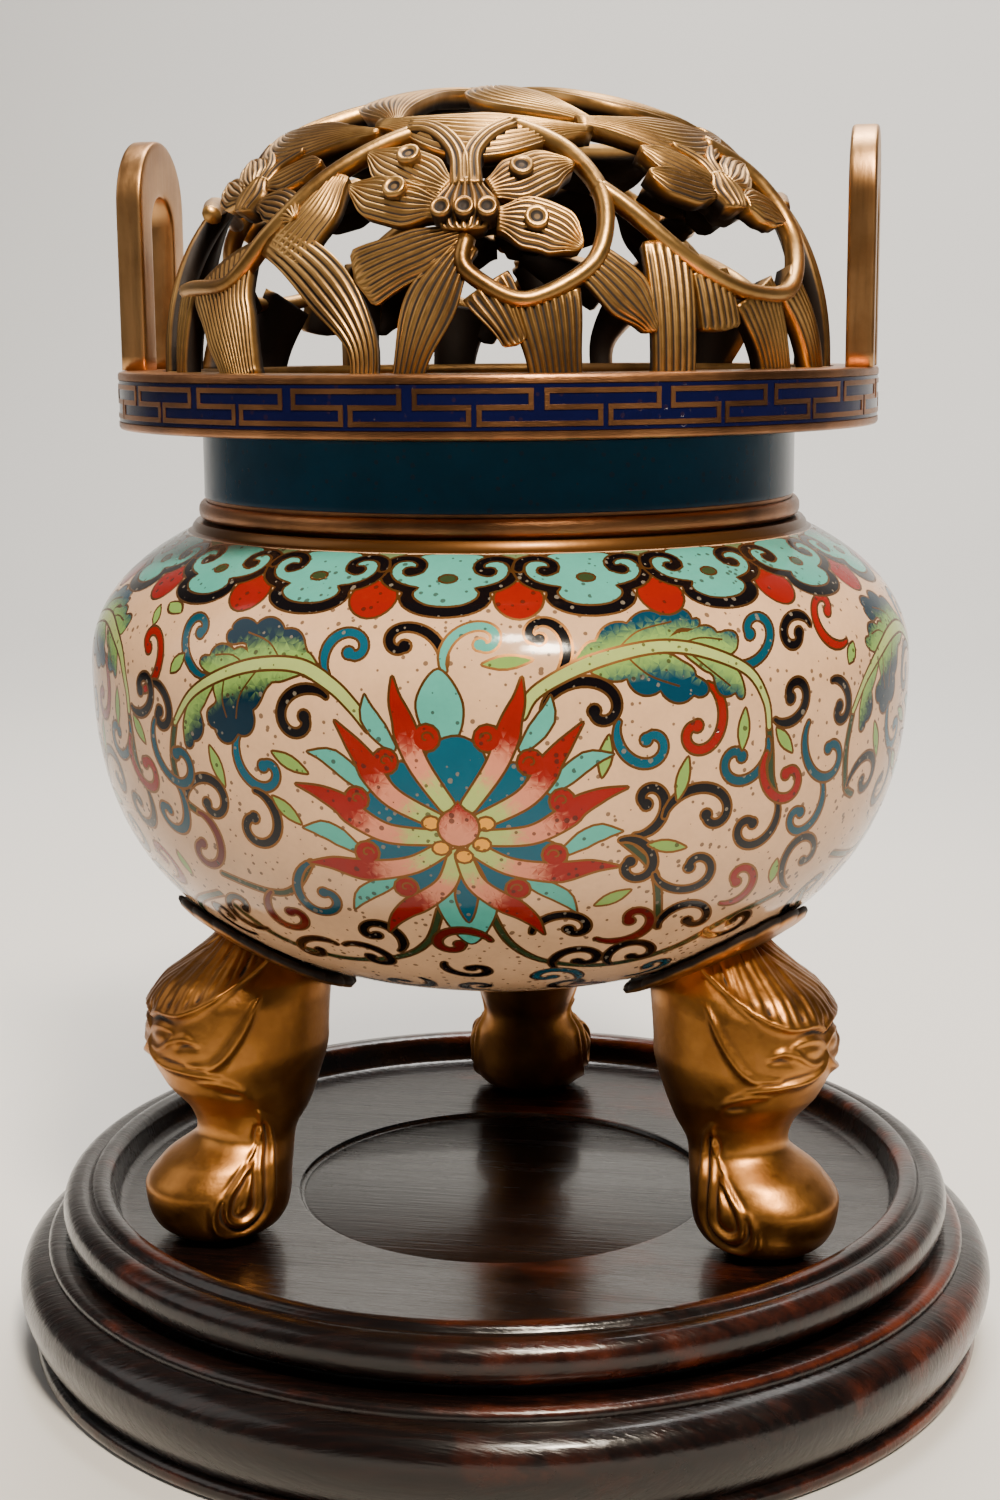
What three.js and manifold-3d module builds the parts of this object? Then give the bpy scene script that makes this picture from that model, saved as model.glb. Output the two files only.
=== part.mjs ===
// A small cloisonne tripod censer on a turned wooden stand, in millimetres, with +Z up.
// The origin is the middle of the stand's underside and the front faces -Y.
// The bowl stands on three lion-mask legs, a flared collar with two upright handles sits on its mouth,
// and a pierced dome of leaves and butterflies lifts out of the collar.
import * as THREE from 'three';
import { mergeVertices } from 'three/addons/utils/BufferGeometryUtils.js';
import Module from 'manifold-3d';

const wasm = await Module();
wasm.setup();

// Fits
const clearance = 0.3;
const sides = 32;
const mergeStep = 0.18;
const mergeGap = 1e-4;
const tiny = 1e-6;

// Wooden stand
const standRadius = 64.4;
const standFootRadius = 62;
const baseHeight = 14.5;
const trayFloor = 18;
const trayRadius = 51.5;
const trayLip = 4;
const trayRimRadius = 58.5;
const undercutRadius = 55;
const innerDiscRadius = 27.4;
const innerDiscDepth = 0.6;
const footBeadHeight = 2.5;
const footBeadBulge = 0.7;
const shoulderInset = 4.4;
const shoulderRise = 0.4;
const creaseDepth = 1;
const creaseRise = 1.2;
const rimBulge = 1;
const lipBead = 0.9;

// Legs
const legHeight = 31;
const legCentreRadius = 37.5;
const legTurn = 5;
const flangeThickness = 1.1;
const flangeGap = 0.42;
const flangeReachIn = 5;
const flangeSink = 2;
const flangeLength = 20.4;
const flangeWidth = 24;
const flangeScallops = 9;

// Bowl
const bellyRadius = 52;
const bellyAboveFloor = 72;
const bellyToBase = 41;
const bellyToShoulder = 23.5;
const mouthRadius = 39;
const mouthRing = 1;
const bowlWall = 1.8;

// Collar
const neckRadius = 37.3;
const neckBore = 34;
const neckHeight = 11.2;
const footRingRadius = 38;
const footRingHeight = 2.2;
const spigotDepth = 3;
const rimRadius = 47.5;
const rimHeight = 7;
const seatDepth = 1.8;
const seatRadius = 42;

// Handles
const handleWidth = 16.6;
const handleHeight = 28.7;
const handleThickness = 3.4;
const handleInset = 0.4;
const slotWidth = 7.8;
const slotHeight = 21.7;

// Pierced lid
const lidHeight = 33.6;
const lidWall = 2.1;
const lidRingWidth = 3.2;
const ribHeight = 0.45;
const lidTurn = 6;
const bossSides = 5;
const lidUnits = 41.25;

// Heights that follow from the sizes above
const bellyZ = trayFloor + bellyAboveFloor;
const lowerCurve = 2.5;
const upperCurve = 2.2;
const domeCurve = 2.3;
const shoulderZ = bellyZ + bellyToShoulder * swell(mouthRadius / bellyRadius, upperCurve);
const mouthZ = shoulderZ + mouthRing;
const collarZ = mouthZ + clearance;
const rimUnder = collarZ + neckHeight;
const rimTop = rimUnder + rimHeight;
const lidRadius = seatRadius - clearance - ribHeight;
const quarterTurn = Math.PI / 2;
const meridian = quarterTurn * Math.hypot(lidRadius, lidHeight) / Math.SQRT2;
// The lid's widths and its butterflies are drawn in units of which the lid's radius has lidUnits.
const lidUnit = lidRadius / lidUnits;

const colours = {
  wood: { color: 0x24120c, roughness: 0.32, metalness: 0 },
  enamel: { color: 0xcbb3a6, roughness: 0.25, metalness: 0 },
  collar: { color: 0x1d3f55, roughness: 0.35, metalness: 0.2 },
  gilt: { color: 0xa8692a, roughness: 0.35, metalness: 1 },
  brass: { color: 0x9a7f56, roughness: 0.5, metalness: 1 },
};

// Height share of a superellipse at a share of its width.
function swell(share, power) {
  return (1 - share ** power) ** (1 / power);
}

// Closed surface as a solid: only positions count, shared corners are merged and slivers dropped.
function solidOf(geometry) {
  const bare = new THREE.BufferGeometry();
  bare.setAttribute('position', geometry.getAttribute('position'));
  bare.setIndex(geometry.getIndex());
  const merged = mergeVertices(bare, mergeGap);
  const index = merged.getIndex().array;
  const kept = [];
  for (let i = 0; i < index.length; i += 3) {
    const [a, b, c] = [index[i], index[i + 1], index[i + 2]];
    if (a !== b && b !== c && c !== a) kept.push(a, b, c);
  }
  const vertProperties = new Float32Array(merged.getAttribute('position').array);
  return new wasm.Manifold(new wasm.Mesh({ numProp: 3, vertProperties, triVerts: new Uint32Array(kept) }));
}

function geometryOf(solid) {
  const mesh = solid.asOriginal().simplify(mergeStep).getMesh();
  const geometry = new THREE.BufferGeometry();
  geometry.setAttribute('position', new THREE.BufferAttribute(new Float32Array(mesh.vertProperties), 3));
  geometry.setIndex(new THREE.BufferAttribute(new Uint32Array(mesh.triVerts), 1));
  geometry.computeVertexNormals();
  return geometry;
}

// Turned piece: the profile runs anticlockwise in radius and height, from axis to axis or round to its start.
function turned(profile) {
  const geometry = new THREE.LatheGeometry(profile, sides);
  geometry.rotateX(quarterTurn);
  return solidOf(geometry);
}

// Solid skin over a row of sections that all have the same number of corners.
function loft(sections) {
  const count = sections[0].length;
  const points = sections.flat();
  const index = [];
  for (let row = 0; row + 1 < sections.length; row += 1) {
    for (let i = 0; i < count; i += 1) {
      const a = row * count + i;
      const b = row * count + (i + 1) % count;
      index.push(a, b, a + count, b, b + count, a + count);
    }
  }
  for (const [row, order] of [[0, -1], [sections.length - 1, 1]]) {
    const middle = new THREE.Vector3();
    sections[row].forEach((point) => middle.addScaledVector(point, 1 / count));
    points.push(middle);
    for (let i = 0; i < count; i += 1) {
      const a = row * count + i;
      const b = row * count + (i + 1) % count;
      index.push(...(order > 0 ? [a, b, points.length - 1] : [b, a, points.length - 1]));
    }
  }
  const geometry = new THREE.BufferGeometry().setFromPoints(points);
  geometry.setIndex(index);
  const solid = solidOf(geometry);
  if (solid.volume() > 0) return solid;
  geometry.setIndex(index.slice().reverse());
  return solidOf(geometry);
}

// Value between evenly spaced keys, eased so that widths swell and taper smoothly.
function between(keys, share) {
  const place = Math.min(share, 1 - tiny) * (keys.length - 1);
  const step = Math.floor(place);
  const ease = (1 - Math.cos(Math.PI * (place - step))) / 2;
  return keys[step] + (keys[step + 1] - keys[step]) * ease;
}

function piece(name, solid, look) {
  const mesh = new THREE.Mesh(geometryOf(solid), new THREE.MeshStandardMaterial(look));
  mesh.name = name;
  return mesh;
}

// Bowl

function bowlOutside(extra = 0) {
  const points = [];
  const steps = 8;
  for (let i = 0; i <= steps; i += 1) {
    const turn = quarterTurn * i / steps;
    points.push(new THREE.Vector2(
      (bellyRadius + extra) * Math.sin(turn) ** (2 / lowerCurve),
      bellyZ - (bellyToBase + extra) * Math.cos(turn) ** (2 / lowerCurve),
    ));
  }
  return points;
}

function shoulder(radius, height, mouth, steps) {
  const points = [];
  const lastTurn = Math.acos((mouth / radius) ** (upperCurve / 2));
  for (let i = 1; i <= steps; i += 1) {
    const turn = lastTurn * i / steps;
    points.push(new THREE.Vector2(
      radius * Math.cos(turn) ** (2 / upperCurve),
      bellyZ + height * Math.sin(turn) ** (2 / upperCurve),
    ));
  }
  return points;
}

function makeBowl() {
  const mouthInside = mouthRadius - mouthRing - bowlWall;
  const outside = [...bowlOutside(), ...shoulder(bellyRadius, bellyToShoulder, mouthRadius, 4)];
  const lip = [new THREE.Vector2(mouthRadius, mouthZ), new THREE.Vector2(mouthInside, mouthZ)];
  const inside = [
    ...bowlOutside(-bowlWall).filter((_, i) => i % 2 === 0),
    ...shoulder(bellyRadius - bowlWall, bellyToShoulder - bowlWall, mouthInside, 3),
  ];
  return turned([...outside, ...lip, ...inside.reverse()]);
}

// Height of the bowl's underside at a radius, and the solid that keeps the legs clear of it.
function undersideZ(radius) {
  return bellyZ - bellyToBase * swell(Math.min(radius / bellyRadius, 1), lowerCurve);
}

function bowlClearance() {
  const below = bowlOutside(clearance);
  return turned([...below, new THREE.Vector2(0, bellyZ)]);
}

// Wooden stand

function makeStand() {
  const lipTop = trayFloor + trayLip;
  const waist = standFootRadius - footBeadBulge;
  const shoulderRadius = standRadius - shoulderInset;
  const rimMiddle = trayRimRadius - rimBulge;
  const profile = new THREE.Path();
  profile.moveTo(0, 0);
  profile.lineTo(waist, 0);
  profile.quadraticCurveTo(standFootRadius + footBeadBulge, footBeadHeight / 2, waist, footBeadHeight);
  profile.lineTo(standFootRadius, baseHeight / 4);
  profile.quadraticCurveTo(standRadius, baseHeight * 0.42, standRadius, baseHeight * 0.62);
  profile.lineTo(standRadius, baseHeight * 0.72);
  profile.quadraticCurveTo(standRadius - footBeadBulge, baseHeight * 0.94, shoulderRadius, baseHeight + shoulderRise);
  profile.lineTo(undercutRadius + creaseDepth, baseHeight);
  profile.lineTo(undercutRadius, baseHeight + creaseRise);
  profile.lineTo(rimMiddle, baseHeight + creaseRise + shoulderRise);
  profile.quadraticCurveTo(trayRimRadius + rimBulge, trayFloor + shoulderRise, rimMiddle, lipTop - creaseRise);
  profile.lineTo(rimMiddle - 2 * creaseRise, lipTop - shoulderRise);
  profile.quadraticCurveTo(trayRadius + 2 * lipBead, lipTop + lipBead, trayRadius + lipBead, lipTop - shoulderRise);
  profile.lineTo(trayRadius, trayFloor);
  profile.lineTo(innerDiscRadius, trayFloor);
  profile.lineTo(innerDiscRadius - innerDiscDepth, trayFloor - innerDiscDepth);
  profile.lineTo(0, trayFloor - innerDiscDepth);
  return turned(profile.getPoints(2));
}

// Collar: foot ring, enamelled neck and the wide fretted rim, in one piece

function makeCollar() {
  const spigotRadius = mouthRadius - mouthRing - bowlWall - 2 * clearance;
  const footTop = collarZ + footRingHeight;
  const profile = new THREE.Path();
  profile.moveTo(neckBore, mouthZ - spigotDepth);
  profile.lineTo(spigotRadius, mouthZ - spigotDepth);
  profile.lineTo(spigotRadius, collarZ);
  profile.lineTo(footRingRadius, collarZ);
  profile.lineTo(footRingRadius, footTop);
  profile.lineTo(neckRadius, footTop);
  profile.lineTo(neckRadius, rimUnder);
  profile.lineTo(rimRadius, rimUnder);
  profile.lineTo(rimRadius, rimTop);
  profile.lineTo(seatRadius, rimTop);
  profile.lineTo(seatRadius, rimTop - seatDepth);
  profile.lineTo(neckBore, rimTop - seatDepth);
  profile.lineTo(neckBore, mouthZ - spigotDepth);
  return turned(profile.getPoints());
}

// Handles: upright plates with a round head and an arched slot that is open at the rim

function makeHandle(side) {
  const halfWidth = handleWidth / 2;
  const halfSlot = slotWidth / 2;
  const outline = new THREE.Shape();
  outline.moveTo(-halfWidth, 0);
  outline.lineTo(-halfSlot, 0);
  outline.lineTo(-halfSlot, slotHeight - halfSlot);
  outline.absarc(0, slotHeight - halfSlot, halfSlot, Math.PI, 0, true);
  outline.lineTo(halfSlot, 0);
  outline.lineTo(halfWidth, 0);
  outline.lineTo(halfWidth, handleHeight - halfWidth);
  outline.absarc(0, handleHeight - halfWidth, halfWidth, 0, Math.PI, false);
  outline.closePath();
  const plate = new THREE.ExtrudeGeometry(outline, {
    depth: handleThickness, bevelEnabled: false, curveSegments: 7,
  });
  plate.rotateX(quarterTurn);
  plate.rotateZ(quarterTurn);
  const outerFace = rimRadius - handleInset;
  plate.translate(side > 0 ? outerFace - handleThickness : -outerFace, 0, rimTop);
  return solidOf(plate);
}

// Legs: a lion mask at the knee over a bulbous paw, lofted up the leg's height.
// Each row is height, centre, radial half and tangential half, as shares of the leg's height.
const legForm = [
  [0, 0.075, 0.17, 0.16],
  [0.06, 0.075, 0.25, 0.24],
  [0.22, 0.075, 0.3, 0.285],
  [0.32, 0.035, 0.27, 0.26],
  [0.43, -0.05, 0.205, 0.2],
  [0.53, -0.07, 0.245, 0.225],
  [0.66, -0.04, 0.32, 0.29],
  [0.82, -0.028, 0.372, 0.325],
  [1, -0.043, 0.368, 0.325],
  [1.08, -0.075, 0.345, 0.31],
  [1.14, -0.12, 0.3, 0.28],
  [1.22, -0.18, 0.24, 0.25],
  [1.34, -0.235, 0.175, 0.215],
  [1.5, -0.25, 0.16, 0.2],
];

function legSection(height) {
  let row = 0;
  while (row + 2 < legForm.length && legForm[row + 1][0] < height) row += 1;
  const share = (height - legForm[row][0]) / (legForm[row + 1][0] - legForm[row][0]);
  const value = (column) => legForm[row][column] + (legForm[row + 1][column] - legForm[row][column]) * share;
  return { centre: legCentreRadius + value(1) * legHeight, out: value(2) * legHeight, across: value(3) * legHeight };
}

// Point on the leg's skin: an angle in degrees from straight out, a height share and a lift.
function legPoint(angle, height, lift = 0) {
  const { centre, out, across } = legSection(height);
  const turn = THREE.MathUtils.degToRad(angle);
  return new THREE.Vector3(
    centre + (out + lift) * Math.cos(turn),
    (across + lift) * Math.sin(turn),
    trayFloor + height * legHeight,
  );
}

// Raised line along the leg's skin, with a three-cornered section that swells in the middle.
// Its width and lift are shares of the leg's height, and so is the mean radius of the leg.
const legGirth = 0.3;

function legRidge(start, middle, end, width, lift) {
  const route = new THREE.QuadraticBezierCurve3(
    new THREE.Vector3(...start, 0), new THREE.Vector3(...middle, 0), new THREE.Vector3(...end, 0),
  );
  const steps = 3;
  const sunk = -0.016 * legHeight;
  const sections = [];
  for (let i = 0; i <= steps; i += 1) {
    const here = route.getPoint(i / steps);
    const along = route.getTangent(i / steps);
    const half = width * between([0.35, 1, 0.35], i / steps) / 2;
    const acrossAngle = -along.y;
    const acrossHeight = along.x * THREE.MathUtils.degToRad(legGirth);
    const size = Math.hypot(acrossAngle, acrossHeight);
    const stepAngle = acrossAngle / size * half * THREE.MathUtils.radToDeg(1 / legGirth);
    const stepHeight = acrossHeight / size * half;
    sections.push([
      legPoint(here.x - stepAngle, here.y - stepHeight, sunk),
      legPoint(here.x, here.y, lift * legHeight),
      legPoint(here.x + stepAngle, here.y + stepHeight, sunk),
    ]);
  }
  return loft(sections);
}

function legCarving() {
  const lines = [];
  for (const hand of [-1, 1]) {
    lines.push(legRidge([hand * 100, 1.12], [hand * 70, 0.78], [hand * 4, 0.93], 0.084, 0.035));
    lines.push(legRidge([hand * 112, 1.02], [hand * 95, 0.62], [hand * 22, 0.64], 0.065, 0.026));
    lines.push(legRidge([hand * 128, 0.46], [hand * 150, 0.12], [hand * 106, 0.08], 0.065, 0.023));
  }
  for (const angle of [-42, 0, 42]) {
    lines.push(legRidge([angle, 1.02], [angle * 1.1, 1.12], [angle * 1.15, 1.28], 0.084, 0.023));
  }
  return lines;
}

function makeFlange() {
  const corners = flangeScallops * 2;
  const middle = legCentreRadius - flangeReachIn;
  const ring = (share, drop) => {
    const points = [];
    for (let i = 0; i < corners; i += 1) {
      const turn = 2 * Math.PI * i / corners;
      const reach = share * (1 + 0.035 * Math.cos(flangeScallops * turn));
      const x = middle + flangeLength / 2 * reach * Math.cos(turn);
      const y = flangeWidth / 2 * reach * Math.sin(turn);
      points.push(new THREE.Vector3(x, y, undersideZ(Math.hypot(x, y)) - drop));
    }
    return points;
  };
  const under = flangeGap + flangeThickness;
  return loft([ring(0.62, under), ring(1, under), ring(1, -flangeSink)]);
}

function makeLeg(direction, gap) {
  const corners = 12;
  const steps = 9;
  const top = legForm[legForm.length - 1][0];
  const sections = [];
  for (let i = 0; i <= steps; i += 1) {
    const height = top * (i / steps) ** 1.15;
    const ring = [];
    for (let j = 0; j < corners; j += 1) ring.push(legPoint(360 * j / corners, height));
    sections.push(ring);
  }
  const upright = wasm.Manifold.union([loft(sections), makeFlange(), ...legCarving()]);
  return upright.rotate([0, 0, direction + legTurn]).subtract(gap);
}

// Pierced lid. A place on the dome is an angle in degrees from the front towards +X, and a reach
// that is 0 at the crown, 1 at the edge and more below it.

function onDome(point, lift) {
  const radius = Math.max(Math.hypot(point.x, point.y), tiny);
  const outward = new THREE.Vector3(point.x / radius, point.y / radius, 0);
  if (point.z <= 0) return outward.multiplyScalar(lidRadius + lift).setZ(Math.max(point.z, clearance - seatDepth));
  const size = ((radius / lidRadius) ** domeCurve + (point.z / lidHeight) ** domeCurve) ** (1 / domeCurve);
  const foot = point.clone().divideScalar(size);
  const normal = outward.multiplyScalar((radius / size / lidRadius) ** (domeCurve - 1) / lidRadius);
  normal.z = (point.z / size / lidHeight) ** (domeCurve - 1) / lidHeight;
  return foot.addScaledVector(normal.normalize(), lift);
}

function chart([angle, reach]) {
  const turn = THREE.MathUtils.degToRad(angle + lidTurn);
  return new THREE.Vector3(reach * Math.sin(turn), -reach * Math.cos(turn), 0);
}

function fromChart(spot) {
  const reach = Math.max(Math.hypot(spot.x, spot.y), tiny);
  const rise = Math.max(0, 1 - reach) * quarterTurn;
  const radius = lidRadius * Math.cos(rise) ** (2 / domeCurve);
  const height = lidHeight * Math.sin(rise) ** (2 / domeCurve);
  const drop = Math.max(0, reach - 1) * meridian;
  return new THREE.Vector3(spot.x / reach * radius, spot.y / reach * radius, height - drop);
}

// Place that lies x units to the right of and y units above a middle, as seen from outside.
function beside([angle, reach], x, y) {
  const turn = THREE.MathUtils.degToRad(angle);
  const share = lidUnit / meridian;
  const right = reach * Math.sin(turn) + (x * Math.cos(turn) - y * Math.sin(turn)) * share;
  const down = reach * Math.cos(turn) - (x * Math.sin(turn) + y * Math.cos(turn)) * share;
  return [THREE.MathUtils.radToDeg(Math.atan2(right, down)), Math.hypot(right, down)];
}

// Strip that runs through some places on the dome; section gives its corners as sideways and lift.
function strip(places, steps, section) {
  const route = new THREE.CatmullRomCurve3(places.map(chart), false, 'centripetal');
  const nearby = 0.02;
  const sections = [];
  for (let i = 0; i <= steps; i += 1) {
    const share = i / steps;
    const here = fromChart(route.getPoint(share));
    const before = fromChart(route.getPoint(Math.max(share - nearby, 0)));
    const after = fromChart(route.getPoint(Math.min(share + nearby, 1)));
    const outward = onDome(here, 1).sub(onDome(here, 0));
    const sideways = after.sub(before).cross(outward).normalize();
    sections.push(section(share).map(([side, lift]) => onDome(here.clone().addScaledVector(sideways, side), lift)));
  }
  return loft(sections);
}

// Leaf lobe with lengthwise ribs.
function lobe(places, widths, { ribs = 1, raised = 0, steps = 3 } = {}) {
  const across = 2 * ribs;
  return strip(places, steps, (share) => {
    const half = between(widths, share) * lidUnit / 2;
    const lift = raised * lidUnit;
    const corners = [];
    for (let i = 0; i <= across; i += 1) {
      const side = 2 * i / across - 1;
      corners.push([side * half, lift + (i % 2 === 1 ? ribHeight : 0)]);
    }
    corners.push([half, lift * 0.6 - lidWall], [-half, lift * 0.6 - lidWall]);
    return corners;
  });
}

// Rolled stem with a four-cornered section, standing a little proud of the leaves.
function stem(places, width, steps) {
  const half = width * lidUnit / 2;
  const sunk = -0.1 * width * lidUnit;
  return strip(places, steps, () => [[-half, sunk], [0, half + sunk / 2], [half, sunk], [0, -half + 3 * sunk]]);
}

// Round boss, as on a wing or along the head.
function boss(place, radius, raised) {
  const low = [];
  const high = [];
  const middle = fromChart(chart(place));
  const facing = THREE.MathUtils.degToRad(place[0] + lidTurn);
  const across = new THREE.Vector3(Math.cos(facing), Math.sin(facing), 0);
  const up = across.clone().cross(onDome(middle, 1).sub(onDome(middle, 0)));
  for (let i = 0; i < bossSides; i += 1) {
    const turn = 2 * Math.PI * i / bossSides;
    const edge = (units) => middle.clone()
      .addScaledVector(across, units * lidUnit * Math.cos(turn))
      .addScaledVector(up, units * lidUnit * Math.sin(turn));
    low.push(onDome(edge(radius), -lidWall / 2));
    high.push(onDome(edge(radius * 0.75), raised * lidUnit));
  }
  return loft([low, high]);
}

// Butterfly seen from above, head down: four wings, a head with three bosses and two feelers.
function butterfly(middle, size, full) {
  const at = (x, y) => beside(middle, x * size, y * size);
  const wings = [
    [[-2.6, 1.6], [-7, 5], [-11.2, 9.6]],
    [[-3.6, -1], [-8.6, 1.2], [-14, 4.8]],
    [[2.4, 1.4], [6.4, 3.8], [11.2, 7]],
    [[3.6, -2.8], [8.6, -2.8], [14.4, -4.4]],
  ];
  const wingWidths = [3 * size, 6.6 * size, 2.4 * size];
  const parts = wings.map((wing) => lobe(wing.map(([x, y]) => at(x, y)), wingWidths, { raised: 0.5, steps: 2 }));
  parts.push(lobe([at(-0.4, 2.6), at(-0.4, -4.6)], [4 * size, 8 * size, 5 * size], { raised: 1, steps: 2 }));
  if (!full) return parts;
  for (const feeler of [[[-0.9, 1.6], [-1.6, 8], [-6.6, 13.6]], [[0.3, 1.6], [0, 8], [3.8, 13.4]]]) {
    parts.push(lobe(feeler.map(([x, y]) => at(x, y)), [2.6 * size, 2.2 * size, 1.8 * size], { raised: 0.7, steps: 2 }));
  }
  for (const x of [-3, -0.3, 2.4]) parts.push(boss(at(x, -2.4), 1.1, 2));
  return parts;
}

// Everything on one half of the dome, with angles counted from the front butterfly.
function lidHalf() {
  return [
    ...butterfly([0, 0.66], 1, true),
    ...butterfly([-47, 0.62], 0.72, false),
    ...butterfly([53, 0.62], 0.76, false),
    stem([[-62, 0.85], [-46, 0.84], [-38, 0.73], [-29, 0.58], [-14, 0.44]], 2, 7),
    stem([[0, 0.75], [0, 0.82], [9, 0.88], [20, 0.81], [24, 0.67], [20, 0.52], [9, 0.42]], 2, 10),
    stem([[23, 0.62], [36, 0.78], [48, 0.86], [62, 0.86], [72, 0.74], [72, 0.58], [62, 0.46]], 2, 9),
    lobe([[-27, 0.58], [-29, 0.68], [-34, 0.78]], [3, 6, 8]),
    lobe([[-37, 0.74], [-25, 0.83], [-17, 0.95], [-16.5, 1.02]], [4.5, 6, 3]),
    lobe([[-50, 0.8], [-46, 0.9], [-41, 1.02]], [13, 9, 6], { ribs: 2 }),
    lobe([[-61, 0.84], [-62, 1.02]], [5, 3.4]),
    lobe([[0, 0.74], [-8, 0.78], [-18, 0.84]], [3, 6, 7.5]),
    lobe([[0, 0.76], [-5, 0.87], [-9.5, 1.02]], [3, 6, 3.4]),
    lobe([[3, 0.85], [8, 0.96]], [6, 3.4]),
    lobe([[12, 0.87], [14, 1.02]], [8.5, 6], { ribs: 2 }),
    lobe([[20, 0.8], [25, 0.86], [30, 0.94]], [5, 6, 2]),
    lobe([[34, 0.76], [33.5, 1.02]], [6, 5.4], { ribs: 2 }),
    lobe([[42, 0.82], [43, 0.94]], [5.5, 6]),
    lobe([[52, 0.86], [57, 1.02]], [8.5, 6], { ribs: 2 }),
    lobe([[63, 0.84], [74, 1.02]], [6, 5]),
    lobe([[92, 0.62], [86, 0.8], [86, 1.02]], [3, 7, 5]),
    lobe([[92, 0.62], [98, 0.8], [104, 1.02]], [3, 7, 5]),
    stem([[76, 0.66], [92, 0.62], [112, 0.66]], 2, 3),
  ];
}

// Wreath of overlapping pointed leaves round the crown.
function crownLeaves() {
  const parts = [];
  const leaves = 7;
  for (let i = 0; i < leaves; i += 1) {
    const angle = 360 * i / leaves;
    parts.push(lobe([[angle - 26, 0.4], [angle, 0.45], [angle + 28, 0.44]], [2, 9.6, 1.4], { raised: 0.4 }));
    parts.push(lobe([[angle, 0.02], [angle + 10, 0.22], [angle + 30, 0.4]], [3, 9.4, 1.6], { raised: 0.2 }));
  }
  parts.push(boss([0, 0], 5, 0.4));
  return parts;
}

function makeLid() {
  const lidRing = [
    [lidRadius - lidRingWidth, -seatDepth + clearance], [lidRadius + ribHeight, -seatDepth + clearance],
    [lidRadius + ribHeight, 0], [lidRadius - lidRingWidth, 0], [lidRadius - lidRingWidth, -seatDepth + clearance],
  ].map(([x, y]) => new THREE.Vector2(x, y));
  const half = wasm.Manifold.union(lidHalf());
  return wasm.Manifold.union([
    half, half.rotate([0, 0, 180]), turned(lidRing), ...crownLeaves(),
  ]).translate([0, 0, rimTop]);
}

const group = new THREE.Group();
const gap = bowlClearance();
group.add(piece('wood_stand', makeStand(), colours.wood));
group.add(piece('bowl', makeBowl(), colours.enamel));
group.add(piece('collar', makeCollar(), colours.collar));
group.add(piece('left_handle', makeHandle(-1), colours.gilt));
group.add(piece('right_handle', makeHandle(1), colours.gilt));
for (const [name, direction] of [['leg_back', 90], ['leg_front_left', 210], ['leg_front_right', 330]]) {
  group.add(piece(name, makeLeg(direction, gap), colours.gilt));
}
group.add(piece('pierced_lid', makeLid(), colours.brass));

export default group;
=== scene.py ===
# %% [markdown]
# # A cloisonne censer on its wooden stand
# This lesson dresses a measured model of a small incense burner. The model gives the sizes and the places
# of the parts, and each step below builds one of them the way it could have been made: turned wood, cast
# and chased gilt bronze, a pierced brass lid, and a copper bowl covered with enamel between thin wires.
# Lengths are written in millimetres and turned into metres when a mesh is made. The front is towards -Y.

import math

import bpy
import numpy as np
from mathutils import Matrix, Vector, geometry


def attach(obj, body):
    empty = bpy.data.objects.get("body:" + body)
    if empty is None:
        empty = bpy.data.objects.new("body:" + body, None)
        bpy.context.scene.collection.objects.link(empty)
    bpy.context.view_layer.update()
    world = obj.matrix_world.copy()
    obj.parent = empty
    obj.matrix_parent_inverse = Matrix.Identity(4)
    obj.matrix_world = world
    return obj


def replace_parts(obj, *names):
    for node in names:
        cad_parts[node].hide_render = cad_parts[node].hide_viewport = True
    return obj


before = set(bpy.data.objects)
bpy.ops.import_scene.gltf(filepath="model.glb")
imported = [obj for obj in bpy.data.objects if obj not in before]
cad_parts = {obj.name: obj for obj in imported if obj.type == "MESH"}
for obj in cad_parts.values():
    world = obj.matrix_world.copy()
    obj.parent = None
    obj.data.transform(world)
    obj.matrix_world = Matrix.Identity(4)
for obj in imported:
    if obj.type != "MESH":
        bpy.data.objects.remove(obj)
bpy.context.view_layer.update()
scene = bpy.context.scene
rng = np.random.default_rng(11)
MM = 0.001

# %% [markdown]
# ## Sizes
# These are the sizes of the measured model. The bowl and the dome of the lid are superellipses, which are
# squarer than ellipses: a higher power makes a fuller shoulder.

# %% Sizes
TRAY_FLOOR = 18.0
BELLY_RADIUS, BELLY_Z, BELLY_TO_BASE, BELLY_TO_SHOULDER = 52.0, 90.0, 41.0, 23.5
LOWER_CURVE, UPPER_CURVE = 2.5, 2.2
MOUTH_RADIUS, MOUTH_RING, BOWL_WALL = 39.0, 1.0, 1.8
SHOULDER_RISE = (1 - (MOUTH_RADIUS / BELLY_RADIUS) ** UPPER_CURVE) ** (1 / UPPER_CURVE)
SHOULDER_Z = BELLY_Z + BELLY_TO_SHOULDER * SHOULDER_RISE
MOUTH_Z = SHOULDER_Z + MOUTH_RING
COLLAR_Z = MOUTH_Z + 0.3
RIM_UNDER = COLLAR_Z + 11.2
RIM_TOP = RIM_UNDER + 7.0
RIM_RADIUS = 47.5
LID_RADIUS, LID_HEIGHT, LID_WALL, DOME_CURVE = 41.25, 33.6, 2.1, 2.3
SEAT_DEPTH, FIT = 1.8, 0.3
LID_TURN = 6.0
LEG_HEIGHT, LEG_CENTRE = 31.0, 37.5
print("rim", round(RIM_UNDER, 2), "to", round(RIM_TOP, 2))

# %% [markdown]
# ## Small tools
# Every piece is a list of points and faces. Surfaces that are smooth on the real thing are shaded smooth,
# and only the edges that a maker would leave crisp are marked sharp.


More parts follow.
